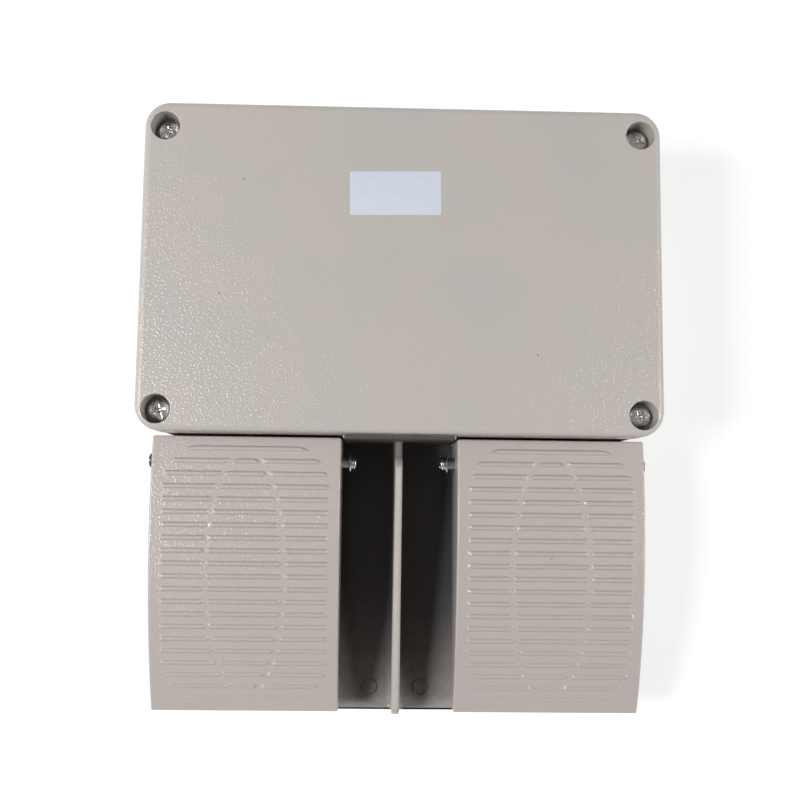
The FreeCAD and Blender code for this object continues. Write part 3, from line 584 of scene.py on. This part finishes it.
# base casting: box, plate, web, lugs and bosses
baseFacts = {
    "boxHalf": 121.0, "boxFront": -9.6, "boxRear": 144.0, "bottom": 5.0, "floorTop": 10.0, "rim": 55.0,
    "boxCorner": 11.5, "boxWall": 4.0, "boxNotch": 12.0,
    "plateHalf": 115.0, "plateFront": -144.5, "plateUnder": 16.0, "plateCorner": 6.0,
    "padHalf": 27.0, "padThick": 1.7, "padDrop": 3.0,
    "entryRadius": 9.2, "entryHeight": 32.0, "entryBoss": 14.0, "entryInside": 6.0,
    "lugThick": 6.0, "lugHalf": 7.0, "lugInset": 5.6, "spigotRadius": 5.6, "spigotHeight": 4.0,
    "postTop": 27.0, "postHalf": 5.0, "postDepth": 5.0, "postBack": 8.05, "bushHeight": 19.5, "bushHole": 5.1,
    "markSpacing": 25.6, "markFromFront": 11.2, "markRadius": 3.7, "markDepth": 0.22,
    "fixingX": 90.0, "fixingY": (45.2, 89.2), "fixingRadius": 2.9, "footX": 95.0, "footY": 126.5, "edge": 0.7,
    "shadeHalf": 34.0, "webRoom": 8.0,
}
pivotFacts = {
    "y": -22.1, "z": 33.0, "shaftRadius": 2.75, "lugBore": 2.78, "lugBoreLength": 96.0, "pedalBore": 2.8,
    "innerX": 27.7, "outerX": 117.0, "midX": 72.35, "springBack": 50.0,
}
pivotY, pivotZ, midX = (pivotFacts[key] for key in ("y", "z", "midX"))
springY = pivotY - pivotFacts["springBack"]
webFacts = {
    "topHalf": 1.6, "draft": 1.0, "crest": 48.0, "low": 38.0, "front": 31.0, "rearY": -7.6, "lowReach": 9.0,
    "crestReach": 15.0, "frontY": -143.7, "frontRound": 6.0, "rootRound": 2.2, "base": 8.0,
}


def makeWeb(facts, floorTop, boxFront):
    # upright web, lofted along Y: drafted sides, rounded top and a soft root
    draft = math.tan(math.radians(facts["draft"]))
    low, crest, topHalf, root = facts["low"], facts["crest"], facts["topHalf"], facts["rootRound"]
    lowY, riseY = boxFront - facts["lowReach"], boxFront - facts["crestReach"]
    crestY, frontY = riseY - 1.5, facts["frontY"] + facts["frontRound"]
    stations = [(facts["rearY"], low), (lowY + 2.0, low), (lowY, low + 0.5), (lowY - 1.0, low + 1.8)]
    stations += [(riseY + 1.0, crest - 1.2), (riseY, crest - 0.3), (crestY, crest)]
    for k in range(1, 12):
        share = k / 12
        stations.append((crestY + (frontY - crestY) * share, crest + (facts["front"] - crest) * share))
    nose = facts["frontRound"]
    for angle in fan(0.0, 6):
        stations.append((frontY - nose * math.sin(angle), facts["front"] - nose + nose * math.cos(angle)))
    loops = []
    for n, (y, height) in enumerate(stations):
        squeeze = 1.0 - 0.3 * max(0, n - len(stations) + 3) / 2  # the nose thins a little
        half = (topHalf + (crest - height) * draft) * squeeze
        rounding = half * 0.85
        side = [(half + root + (crest - floorTop) * draft * 0.8, facts["base"])]
        for angle in fan(0.0, 4):
            z = floorTop + root * (1 - math.cos(angle))
            wide = (topHalf + (crest - z) * draft) * squeeze
            side.append((wide + root * (1 - math.sin(angle)), z))
        for angle in fan(0.0, 5):
            across, up = rounding * math.cos(angle), rounding * math.sin(angle)
            side.append((half - rounding + across, height - rounding + up))
        loops.append([(x, y, z) for x, z in side] + [(-x, y, z) for x, z in reversed(side)])
    return looped(loops)


def makeBase(facts):
    front, rear, floorTop = facts["boxFront"], facts["boxRear"], facts["floorTop"]
    half, bottom = facts["boxHalf"], facts["bottom"]
    box = prism(roundedOutline(-half, half, front, rear, facts["boxCorner"], 14), bottom, facts["rim"])
    half, plateRear = facts["plateHalf"], front + facts["plateUnder"]
    plate = roundedOutline(-half, half, facts["plateFront"], plateRear, facts["plateCorner"], 8)
    extras = [prism(plate, bottom, floorTop), makeWeb(webFacts, floorTop, front)]
    half, padTop = facts["padHalf"], facts["rim"] - facts["padDrop"]
    sunk = floorTop - lap  # where everything that stands on the floor begins
    extras.append(block(-half, half, front - facts["padThick"], front + 2 * lap, sunk, padTop))
    wall = facts["boxWall"]
    hollow = notchedOutline(facts["boxHalf"] - wall, front + wall, rear - wall, facts["boxNotch"])
    cutters = [prism(hollow, floorTop, facts["rim"] + 2 * lap)]
    half, thick, inset, long = facts["lugHalf"], facts["lugThick"], facts["lugInset"], pivotFacts["lugBoreLength"]
    lugSpans = [(x, x + thick) for x in (pivotFacts["innerX"] + inset, pivotFacts["outerX"] - inset - thick)]
    lug = [(pivotY + half * math.cos(a), pivotZ + half * math.sin(a)) for a in fan(180.0, 16, -180.0)]
    lug = [(pivotY - half, sunk)] + lug + [(pivotY + half, sunk)]
    for side in sides.values():
        mid = side * midX
        for span in lugSpans:
            extras.append(sidePrism(lug, *sorted(side * x for x in span)))
        cutters.append(alongX(rod(pivotFacts["lugBore"], long, 32), mid - long / 2, pivotY, pivotZ))
        extras.append(disc(mid, springY, sunk, floorTop + facts["spigotHeight"], facts["spigotRadius"]))
        half, postY = facts["postHalf"], pivotY - facts["postBack"]
        extras.append(block(mid - half, mid + half, postY - facts["postDepth"], postY, sunk, facts["postTop"]))
        cutters.append(alongY(rod(facts["bushHole"], 16.0, 32), mid, front - 8.0, facts["bushHeight"]))
        x, y = side * facts["markSpacing"] / 2, facts["plateFront"] + facts["markFromFront"]
        cutters.append(disc(x, y, floorTop - facts["markDepth"], floorTop + lap, facts["markRadius"], 40))
        for y in facts["fixingY"]:
            x = side * facts["fixingX"]
            cutters.append(disc(x, y, bottom - lap, floorTop + 3 * lap, facts["fixingRadius"], 32))
    # the cable entry, with its boss inside the rear wall
    bossY = rear - wall - facts["entryInside"]
    extras.append(alongY(rod(facts["entryBoss"], 9.0, 48), 0.0, bossY, facts["entryHeight"]))
    mesh = carved("baseShell", box, extras, cutters)
    return carvedAgain(mesh, alongY(rod(facts["entryRadius"], 40.0, 56), 0.0, rear - 20.0, facts["entryHeight"]))


base = addPiece("baseCasting", makeBase(baseFacts), "housing", "casting_paint", ["base_casting"])
softenEdges(base, baseFacts["edge"])
# the second material is the coat with painted shade between the pedals
base.data.materials.clear()
base.data.materials.append(finishes["casting_paint"])
base.data.materials.append(recessShadeCoat)


def markRecessShade(mesh, facts):
    # plate floor, web and front wall between the pedals take the coat with painted shade
    wallFrom = facts["boxFront"] - facts["padThick"] - 0.8
    for face in mesh.polygons:
        c = face.center / mm
        between = abs(c.x) < facts["shadeHalf"] and c.y < facts["boxFront"] + 0.1
        onFloor = c.z < facts["floorTop"] + 0.4 and face.normal.z > 0.3
        onWeb = abs(c.x) < facts["webRoom"] and c.y > webFacts["frontY"] + 2.0
        onWall = c.y > wallFrom and face.normal.z < 0.8
        face.material_index = 1 if between and (onFloor or onWeb or onWall) else 0


markRecessShade(base.data, baseFacts)
print("base casting made:", len(base.data.vertices), "points")


# pedals: arched shell, rolled edges, skirts, and a field of short ribs round a long ring
pedalFacts = {
    "innerX": 27.7, "width": 89.3, "rear": -10.8, "front": -141.4, "wall": 3.5, "skirt": 3.2,
    "radius": 240.0, "crestZ": 51.7, "crestY": -44.2, "edge": 0.9, "edgeSteps": 4,
    "rearBottom": 31.0, "heelBottom": 17.0, "toeBottom": 26.03, "heelFlat": 8.5,
    "rows": 21, "pitch": 6.0, "firstRow": 5.9, "ribHalf": 1.4, "ribHeight": 0.95, "flank": 0.85, "nose": 0.9,
    "bandHalf": 39.2, "bandCorner": 22.0, "ringX": 18.5, "ringRows": 9.7, "ringGap": 1.7, "columnStep": 0.5,
}


def ribField(u, v, facts):
    # height of the ribs at u across and v along, measured from the field's middle
    pitch, last = facts["pitch"], (facts["rows"] - 1) / 2
    vRow = np.clip(np.round(v / pitch), -last, last) * pitch
    inRow = np.abs(v - vRow) - facts["ribHalf"]
    # band: rectangle with large corners
    halfV, corner = facts["rows"] * pitch / 2, facts["bandCorner"]
    du = np.abs(u) - (facts["bandHalf"] - corner)
    dv = np.abs(v) - (halfV - corner)
    band = np.hypot(np.maximum(du, 0), np.maximum(dv, 0)) + np.minimum(np.maximum(du, dv), 0) - corner
    ringU, ringV, gap = facts["ringX"], facts["ringRows"] * pitch, facts["ringGap"] / 2
    reach = np.sqrt((u / ringU) ** 2 + (v / ringV) ** 2) + 1e-9
    slope = np.hypot(u / ringU**2, v / ringV**2) / reach
    ellipse = (reach - 1) / np.maximum(slope, 1e-3)
    region = np.minimum(np.maximum(band, gap - ellipse), ellipse + gap)
    region = np.where(np.abs(vRow) > ringV, band, region)
    soft = facts["nose"]
    a, b = inRow + soft, region + soft
    both = np.hypot(np.maximum(a, 0), np.maximum(b, 0)) + np.minimum(np.maximum(a, b), 0) - soft
    t = np.clip(-both / facts["flank"], 0, 1)
    return facts["ribHeight"] * t * t * (3 - 2 * t)


def archHeight(y, lowered=0.0):
    # height of the arch over y, or of its underside
    facts = pedalFacts
    reach = (facts["radius"] - lowered) ** 2 - (y - facts["crestY"]) ** 2
    return facts["crestZ"] - facts["radius"] + math.sqrt(reach)


def makePedal(facts):
    half, edge, radius, pitch = facts["width"] / 2, facts["edge"], facts["radius"], facts["pitch"]
    startAngle = math.asin((facts["rear"] - facts["crestY"]) / radius)
    endAngle = math.asin((facts["front"] - facts["crestY"]) / radius)
    length = (startAngle - endAngle) * radius
    middle = facts["firstRow"] + (facts["rows"] - 1) / 2 * pitch

    # stations along the arch: close together on the ribs' flanks
    offsets = (0.0, 0.55, 0.72, 0.87, 1.0, 1.13, 1.27, 1.42, 1.85, 2.4)
    lowS, highS = edge / math.cos(startAngle), length - edge * 1.05
    along = {lowS, highS}
    for row in range(facts["rows"]):
        centre = facts["firstRow"] + row * pitch
        for offset in offsets:
            along.update((centre - offset, centre + offset))
        along.add(centre + pitch / 2)
    along = np.array(sorted(s for s in along if lowS - 1e-6 <= s <= highS + 1e-6))
    count = int(round((half - edge) * 2 / facts["columnStep"]))
    across = np.linspace(-(half - edge), half - edge, count + 1)

    def station(s):
        angle = startAngle - s / radius
        return facts["crestY"] + radius * np.sin(angle), facts["crestZ"] - radius + radius * np.cos(angle), angle

    s, u = np.meshgrid(along, across, indexing="ij")
    y, z, angle = station(s)
    rise = ribField(u, s - middle, facts)
    y = y + rise * np.sin(angle)
    z = z + rise * np.cos(angle)
    rowCount, columnCount = s.shape
    points = np.stack([u, y, z], -1).reshape(-1, 3).tolist()
    number = np.arange(rowCount * columnCount).reshape(rowCount, columnCount)
    faces = np.stack([number[:-1, :-1], number[:-1, 1:], number[1:, 1:], number[1:, :-1]], -1)
    faces = faces.reshape(-1, 4).tolist()

    # rim of the grid, going round once, with the way out at each point
    rim = [(number[0, c], (0.0, 1.0)) for c in range(columnCount)]
    turns = facts["edgeSteps"]

    def corner(index, start):
        rim.extend((index, (math.cos(a), math.sin(a))) for a in fan(start, turns, -90.0)[1:-1])

    corner(number[0, -1], 90.0)
    rim += [(number[r, -1], (1.0, 0.0)) for r in range(rowCount)]
    corner(number[-1, -1], 0.0)
    rim += [(number[-1, c], (0.0, -1.0)) for c in range(columnCount - 1, -1, -1)]
    corner(number[-1, 0], -90.0)
    rim += [(number[r, 0], (-1.0, 0.0)) for r in range(rowCount - 1, -1, -1)]
    corner(number[0, 0], 180.0)

    def skirtBottom(yAt, dy):
        if dy > 0.99:
            return facts["rearBottom"]  # the rear wall stops above the plunger's bush
        heel, toe = pivotY + facts["heelFlat"], pivotY - facts["heelFlat"]
        ys = (facts["front"], toe, heel, facts["rear"])
        zs = (facts["toeBottom"], facts["heelBottom"], facts["heelBottom"], facts["rearBottom"])
        return float(np.interp(yAt, ys, zs))

    def addRing(place):
        start = len(points) + len(extra)
        extra.extend(place(*points[index], dx, dy) for index, (dx, dy) in rim)
        return list(range(start, start + len(rim)))

    extra = []
    rings = [[index for index, way in rim]]
    for a in fan(0.0, turns)[1:]:
        out, drop = edge * math.sin(a), edge * (1 - math.cos(a))
        rings.append(addRing(lambda x, y, z, dx, dy: (x + dx * out, y + dy * out, z - drop)))
    skirt = facts["skirt"]
    inward = edge - skirt

    def lowRing(x, y, z, dx, dy):
        return (x + dx * out, y + dy * out, skirtBottom(y + dy * out, dy) + rise)

    def ceiling(x, y, z, dx, dy):
        yIn = y + dy * inward
        return (x + dx * inward, yIn, archHeight(yIn, facts["wall"]) - drop)

    for out, rise in ((edge, 0.7), (edge - 0.2, 0.2), (edge - 0.7, 0.0), (inward + 0.6, 0.0), (inward, 0.5)):
        rings.append(addRing(lowRing))
    for drop in (0.8, 0.0):
        rings.append(addRing(ceiling))
    n = len(rim)
    for low, high in zip(rings, rings[1:]):
        faces += [(low[k], high[k], high[(k + 1) % n], low[(k + 1) % n]) for k in range(n)]
    # ceiling: straight strips from side to side
    last = rings[-1]
    rightStart = columnCount + turns - 1
    leftStart = rightStart + rowCount + columnCount + 2 * (turns - 1)
    rightSide = last[rightStart:rightStart + rowCount]
    leftSide = list(reversed(last[leftStart:leftStart + rowCount]))
    faces += [(leftSide[k], rightSide[k], rightSide[k + 1], leftSide[k + 1]) for k in range(rowCount - 1)]
    faces.append(tuple(last[:rightStart + 1]) + tuple(last[leftStart + rowCount - 1:]))
    faces.append(tuple(last[rightStart + rowCount - 1:leftStart + 1]))
    return points + extra, faces


pedalShape = placed(makePedal(pedalFacts), midX, 0.0, 0.0)
print("pedal shell:", len(pedalShape[0]), "points")


# what stands on the underside of a pedal
fittingFacts = {
    "hub": 6.0, "hubLength": 3.0, "hubEase": 0.4, "armHub": 6.5, "armHubHalf": 5.0, "armHalf": 5.0, "armThickHalf": 4.0,
    "armBottom": 15.0, "armSplit": 3.6, "seatDrop": 1.6, "seatRadius": 9.0, "pinRadius": 5.1, "pinLength": 4.0,
    "stopBack": 100.0, "stopRadius": 6.5, "stopBottom": 31.0, "stopTop": 34.4, "spineHalf": 1.5, "spineDepth": 8.0,
}


def pedalFittings(pedal, facts):
    y, z = pivotY, pivotZ
    bore = pivotFacts["pedalBore"]
    x0, x1 = pedal["innerX"] + pedal["skirt"], pedal["innerX"] + pedal["width"] - pedal["skirt"]
    pieces = []
    wide, long, ease = facts["hub"], facts["hubLength"], facts["hubEase"]
    hub = [(bore, 0.0), (wide, 0.0), (wide, long - ease), (wide - ease, long), (bore, long)]
    hub = turned(hub, 40, closed=True)
    pieces.append(alongX(hub, x0 - lap, y, z, 1))
    pieces.append(alongX(hub, x1 + lap, y, z, -1))
    wide, half = facts["armHub"], facts["armHubHalf"]
    armHub = [(bore, -half), (wide - ease, -half), (wide, ease - half), (wide, half - ease)]
    armHub += [(wide - ease, half), (bore, half)]
    pieces.append(alongX(turned(armHub, 40, closed=True), midX, y, z, 1))
    # the arm, left open where the shaft runs through its hub
    rear, front, foot = y + facts["armHalf"], y - facts["armHalf"], facts["armBottom"]
    under, over = z - facts["armSplit"], z + facts["armSplit"]
    ceilingZ = pedal["crestZ"] - pedal["wall"] + 0.6
    lower = [(front, foot + 0.8), (front + 0.8, foot), (rear - 0.8, foot), (rear, foot + 0.8)]
    lower += [(rear, under), (front, under)]
    upper = [(front, over), (rear, over), (rear, ceilingZ - 1.2), (front, ceilingZ - 1.2)]
    for outline in (lower, upper):
        pieces.append(sidePrism(outline, midX - facts["armThickHalf"], midX + facts["armThickHalf"]))
    # the spring's seat and the pin that keeps it in place
    seat = archHeight(springY, pedal["wall"]) - facts["seatDrop"]
    wide, pin, tip = facts["seatRadius"], facts["pinRadius"], seat - facts["pinLength"]
    boss = [(0.0, tip), (pin - ease, tip), (pin, tip + ease), (pin, seat), (wide - 0.3, seat), (wide, seat + 0.3)]
    boss += [(wide, seat + 1.9), (0.0, seat + 1.9)]
    pieces.append(placed(turned(boss, 40), midX, springY, 0.0))
    wide, low, high = facts["stopRadius"], facts["stopBottom"], facts["stopTop"]
    stop = [(0.0, low), (wide - 0.3, low), (wide, low + 0.3), (wide, high), (0.0, high)]
    pieces.append(placed(turned(stop, 40), midX, y - facts["stopBack"], 0.0))
    keel = seat + facts["seatDrop"] - facts["spineDepth"]
    spine = [(springY + 8.5, keel), (y - 4.5, keel), (y - 4.5, ceilingZ - 0.8), (springY + 8.5, seat + 2.0)]
    pieces.append(sidePrism(spine, midX - facts["spineHalf"], midX + facts["spineHalf"]))
    return joined(*pieces)


shaftBore = rod(pivotFacts["pedalBore"], 98.0, 40)
shaftBore = alongX(shaftBore, pivotFacts["innerX"] - 4.0, pivotY, pivotZ)
pedalMesh = carved("pedalShell", pedalShape, (), [shaftBore])
wholePedal = joined(shapeOf(pedalMesh), pedalFittings(pedalFacts, fittingFacts))
for name, side in sides.items():
    shape = wholePedal if side > 0 else mirroredX(wholePedal)
    mesh = buildMesh(name + "PedalCasting", *shape, sharpAngle=50.0, weld=0.0002)
    addPiece(name + "PedalCasting", mesh, name + "_pedal_body", "casting_paint", [name + "_pedal"], "pedal")
print("pedals made:", len(wholePedal[0]), "points each")


# pivot hardware at both ends of each shaft
hardwareFacts = {
    "innerStand": 3.8, "outerStand": 1.0, "washerRadius": 4.9, "washerThick": 0.8, "lockRadius": 3.4,
    "lockThick": 0.9, "ringBore": 1.6, "shaftEdge": 0.3, "headRadius": 3.5, "headHeight": 2.2, "shank": 1.45,
    "shankLength": 9.5, "slot": 0.9, "slotDepth": 0.8, "slotReach": 1.1, "crossReach": 0.6,
}


def softTube(inner, outer, length, soft, steps):
    profile = [(inner, 0.0), (outer - soft, 0.0), (outer, soft), (outer, length - soft), (outer - soft, length)]
    return turned(profile + [(inner, length)], steps, closed=True)


def makeHardware(facts, name, side):
    y, z = pivotY, pivotZ
    xIn = pivotFacts["innerX"] - facts["innerStand"]
    xOut = pivotFacts["outerX"] + facts["outerStand"]
    shaft = softTube(facts["shank"] + 0.05, pivotFacts["shaftRadius"], xOut - xIn, facts["shaftEdge"], 40)
    mesh = buildMesh(name + "Shaft", *alongX(shaft, side * xIn, y, z, side))
    addPiece(name + "Shaft", mesh, "housing", "zinc_steel", [name + "_pivot_shaft"], "shaft")
    washer = softTube(facts["ringBore"], facts["washerRadius"], facts["washerThick"], 0.12, 48)
    lock = softTube(facts["ringBore"], facts["lockRadius"], facts["lockThick"], 0.12, 40)
    washers, locks, screws = [], [], []
    for xEnd, way in ((side * xIn, -side), (side * xOut, side)):
        xLock = xEnd + way * facts["washerThick"]
        washers.append(alongX(washer, xEnd, y, z, way))
        locks.append(alongX(lock, xLock, y, z, way))
        screws.append(alongX(pivotHead, xLock + way * facts["lockThick"], y, z, way))
    sets = (
        ("PivotWashers", washers, "_pivot_washers", 0.002), ("PivotLockRings", locks, "_pivot_spring_washers", 0.002),
        ("PivotScrews", screws, "_pivot_screws", 0.0002),
    )
    for label, shapes, node, weld in sets:
        mesh = buildMesh(name + label, *joined(*shapes), weld=weld)
        addPiece(name + label, mesh, "housing", "zinc_steel", [name + node], "pivot")
        # painted shade: the ends on the outside take the near-black copy, standing in for their shade and dark
        # reflections
        mesh.materials.append(finishes["outer"])
        for face in mesh.polygons:
            face.material_index = 1 if abs(face.center.x) > midX * mm else 0


pivotHead = panHead(hardwareFacts)
for name, side in sides.items():
    makeHardware(hardwareFacts, name, side)
print("pivot hardware made")


# return springs, one under each pedal's seat
springFacts = {
    "radius": 7.0, "wire": 0.7, "turns": 7.5, "base": 10.05, "gap": 0.05, "deadTurns": 0.9, "stepsPerTurn": 28,
    "wireSteps": 10, "travel": 7.0, "spare": 0.12,
}


def makeSpring(facts, x, y, top):
    wire, radius, dead, steps = facts["wire"], facts["radius"], facts["deadTurns"], facts["wireSteps"]
    low, high = facts["base"] + wire, top - facts["gap"] - wire
    free = facts["turns"] - 2 * dead
    total = int(facts["turns"] * facts["stepsPerTurn"])
    path = []
    for k in range(total + 1):
        turnsDone = k / facts["stepsPerTurn"]
        share = min(max((turnsDone - dead) / free, 0.0), 1.0)
        lift = low + 2 * wire * min(turnsDone / dead, 1.0)
        drop = 2 * wire * max((turnsDone - (facts["turns"] - dead)) / dead, 0.0)
        height = lift + (high - low - 4 * wire) * share + drop
        angle = 2 * math.pi * turnsDone
        path.append(Vector((x + radius * math.cos(angle), y + radius * math.sin(angle), height)))
    spokes = [2 * math.pi * m / steps for m in range(steps)]
    rings = []
    for k, centre in enumerate(path):
        ahead = (path[min(k + 1, total)] - path[max(k - 1, 0)]).normalized()
        outward = Vector((centre.x - x, centre.y - y, 0)).normalized()
        upward = ahead.cross(outward)
        rings.append([tuple(centre + wire * (math.cos(a) * outward + math.sin(a) * upward)) for a in spokes])
    return looped(rings)


springTop = archHeight(springY, pedalFacts["wall"]) - fittingFacts["seatDrop"]
# its top stays clear of the seat's low front edge
for name, side in sides.items():
    shape = makeSpring(springFacts, side * midX, springY, springTop)
    mesh = buildMesh(name + "ReturnSpring", *shape, sharpAngle=70.0, weld=0.0001)
    spring = addPiece(name + "ReturnSpring", mesh, "housing", "spring_steel", [name + "_return_spring"])
    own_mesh(spring)
print("springs made, top at", round(springTop, 2))


# rubber feet
footFacts = {"low": 10.0, "high": 9.0, "height": 5.0, "cup": 5.0, "cupDepth": 2.8, "bore": 2.2, "soft": 0.5}


def makeFoot(facts):
    low, high, tall, soft = facts["low"], facts["high"], facts["height"], facts["soft"]
    bore, cup, deep = facts["bore"], facts["cup"], facts["cupDepth"]
    profile = [
        (cup + soft, 0.0), (low - soft, 0.0), (low - soft * 0.3, soft * 0.3), (low, soft), (high + 0.1, tall - 0.3),
        (high - 0.2, tall), (bore, tall), (bore, deep), (cup, deep), (cup, soft),
    ]
    return turned(profile, 56, closed=True)


corners = [(sx * baseFacts["footX"], sy * baseFacts["footY"]) for sx in (-1, 1) for sy in (-1, 1)]
feet = [placed(makeFoot(footFacts), x, y, 0.0) for x, y in corners]
addPiece("rubberFootSet", buildMesh("rubberFootSet", *joined(*feet)), "housing", "black_rubber", ["rubber_feet"])
print("feet made")


# the CAD nodes that stay take their finish by slot
kept = 0
for entry in frame["record"]["subparts"]:
    node = frame["nodes"][entry["node"]]
    if node.hide_render:
        continue
    node.data.materials.clear()
    node.data.materials.append(finishes[entry["material_slot"]])
    kept += 1
print("CAD nodes kept:", kept)


# floor, light and camera
stageFacts = {
    "floorHalf": 6.0, "floorTone": (0.8, 0.8, 0.8), "shadowShare": 0.6, "glow": 0.63, "glowReach": (0.35, 1.2),
    "skyAmbient": 0.03, "overhead": 0.3, "ceilingFrom": (0.3, 0.85), "aim": (0.0, 0.0, 0.04),
}


def addRays(tree, *kinds):
    # 1 for a ray of any of these kinds
    path = tree.nodes.new("ShaderNodeLightPath")
    seen = path.outputs[f"Is {kinds[0]} Ray"]
    for kind in kinds[1:]:
        seen = addMath(tree, "MAXIMUM", seen, path.outputs[f"Is {kind} Ray"])
    return seen


def makeFloor(facts):
    half = facts["floorHalf"] / mm
    corners = [(-half, -half, 0.0), (half, -half, 0.0), (half, half, 0.0), (-half, half, 0.0)]
    mesh = buildMesh("floorSheet", corners, [(0, 1, 2, 3)])
    material, tree, shader, where = newFinish("paleFloor")
    tree.nodes.remove(shader)
    matte = tree.nodes.new("ShaderNodeBsdfDiffuse")
    tone = [c * facts["shadowShare"] for c in facts["floorTone"]]
    matte.inputs["Color"].default_value = (*tone, 1.0)
    glow = tree.nodes.new("ShaderNodeEmission")
    # further off, where the lamps don't reach, the sheet glows more
    away = tree.nodes.new("ShaderNodeVectorMath")
    away.operation = "LENGTH"
    tree.links.new(where, away.inputs[0])
    strength = addRange(tree, away.outputs["Value"], *facts["glowReach"], facts["glow"], 1.0, True)
    seen = addRays(tree, "Camera", "Glossy", "Transmission")
    strength = addMath(tree, "MULTIPLY", seen, strength)
    setInputs(tree, glow, {"Color": (1.0, 1.0, 1.0, 1.0), "Strength": strength})
    both = tree.nodes.new("ShaderNodeAddShader")
    setInputs(tree, both, {0: matte.outputs[0], 1: glow.outputs[0]})
    tree.links.new(both.outputs[0], tree.nodes["Material Output"].inputs["Surface"])
    mesh.materials.append(material)
    floor = addObject("floor", mesh)


makeFloor(stageFacts)


def makeWorld(facts):
    # white all round, and a dimmer ceiling in what shiny surfaces mirror
    world = bpy.data.worlds.new("studio")
    world.use_nodes = True
    scene.world = world
    tree = world.node_tree
    split = tree.nodes.new("ShaderNodeSeparateXYZ")
    tree.links.new(tree.nodes.new("ShaderNodeTexCoord").outputs["Generated"], split.inputs[0])
    ceiling = addRange(tree, split.outputs["Z"], *facts["ceilingFrom"], 1.0, facts["overhead"], True)
    mirrored = addMath(tree, "MULTIPLY", addRays(tree, "Glossy", "Transmission"), ceiling)
    seen = addMath(tree, "MAXIMUM", addRays(tree, "Camera"), mirrored)
    strength = addMath(tree, "MAXIMUM", seen, facts["skyAmbient"])
    setInputs(tree, tree.nodes["Background"], {"Color": (1.0, 1.0, 1.0, 1.0), "Strength": strength})


makeWorld(stageFacts)

lampFacts = {
    "leftBox": {"place": (-1.1, -0.1, 1.27), "size": (0.45, 0.55), "power": 22.5},
    "rightBox": {"place": (1.28, -0.14, 1.08), "size": (0.6, 0.6), "power": 13.5},
    "leftWall": {"place": (-1.25, -0.2, 0.66), "size": (1.7, 0.5), "power": 4.0},
    "rightWall": {"place": (1.25, -0.2, 0.66), "size": (1.7, 0.5), "power": 4.0},
}
for name, facts in lampFacts.items():
    lamp = bpy.data.lights.new(name, "AREA")
    lamp.shape = "RECTANGLE"
    lamp.size, lamp.size_y = facts["size"]
    lamp.energy = facts["power"]
    holder = addObject(name, lamp)
    holder.location = facts["place"]
    # the first size runs along the object's length
    back = (holder.location - Vector(stageFacts["aim"])).normalized()
    along = (Vector((0.0, 1.0, 0.0)) - back * back.y).normalized()
    holder.rotation_euler = Matrix((along, back.cross(along), back)).transposed().to_euler()

cameraFacts = {"place": (-0.01239, -0.04206, 0.52520), "pitch": -0.104, "yaw": 0.026, "roll": 0.012, "lens": 44.99}


def makeCamera(facts):
    data = bpy.data.cameras.new("photoCamera")
    data.lens = facts["lens"]
    data.sensor_width, data.sensor_fit = 36.0, "HORIZONTAL"
    data.clip_start, data.clip_end = 0.01, 50.0
    camera = addObject("photoCamera", data)
    # turn from the row frame to the camera's right, up and back
    turn = Matrix.Rotation(facts["pitch"], 3, "X") @ Matrix.Rotation(facts["yaw"], 3, "Y")
    turn = Matrix.Rotation(-facts["roll"], 3, "Z") @ turn
    camera.matrix_world = Matrix.Translation(facts["place"]) @ turn.transposed().to_4x4()
    scene.camera = camera


makeCamera(cameraFacts)
scene.view_settings.view_transform = "Standard"
print("stage, lamps and camera made")
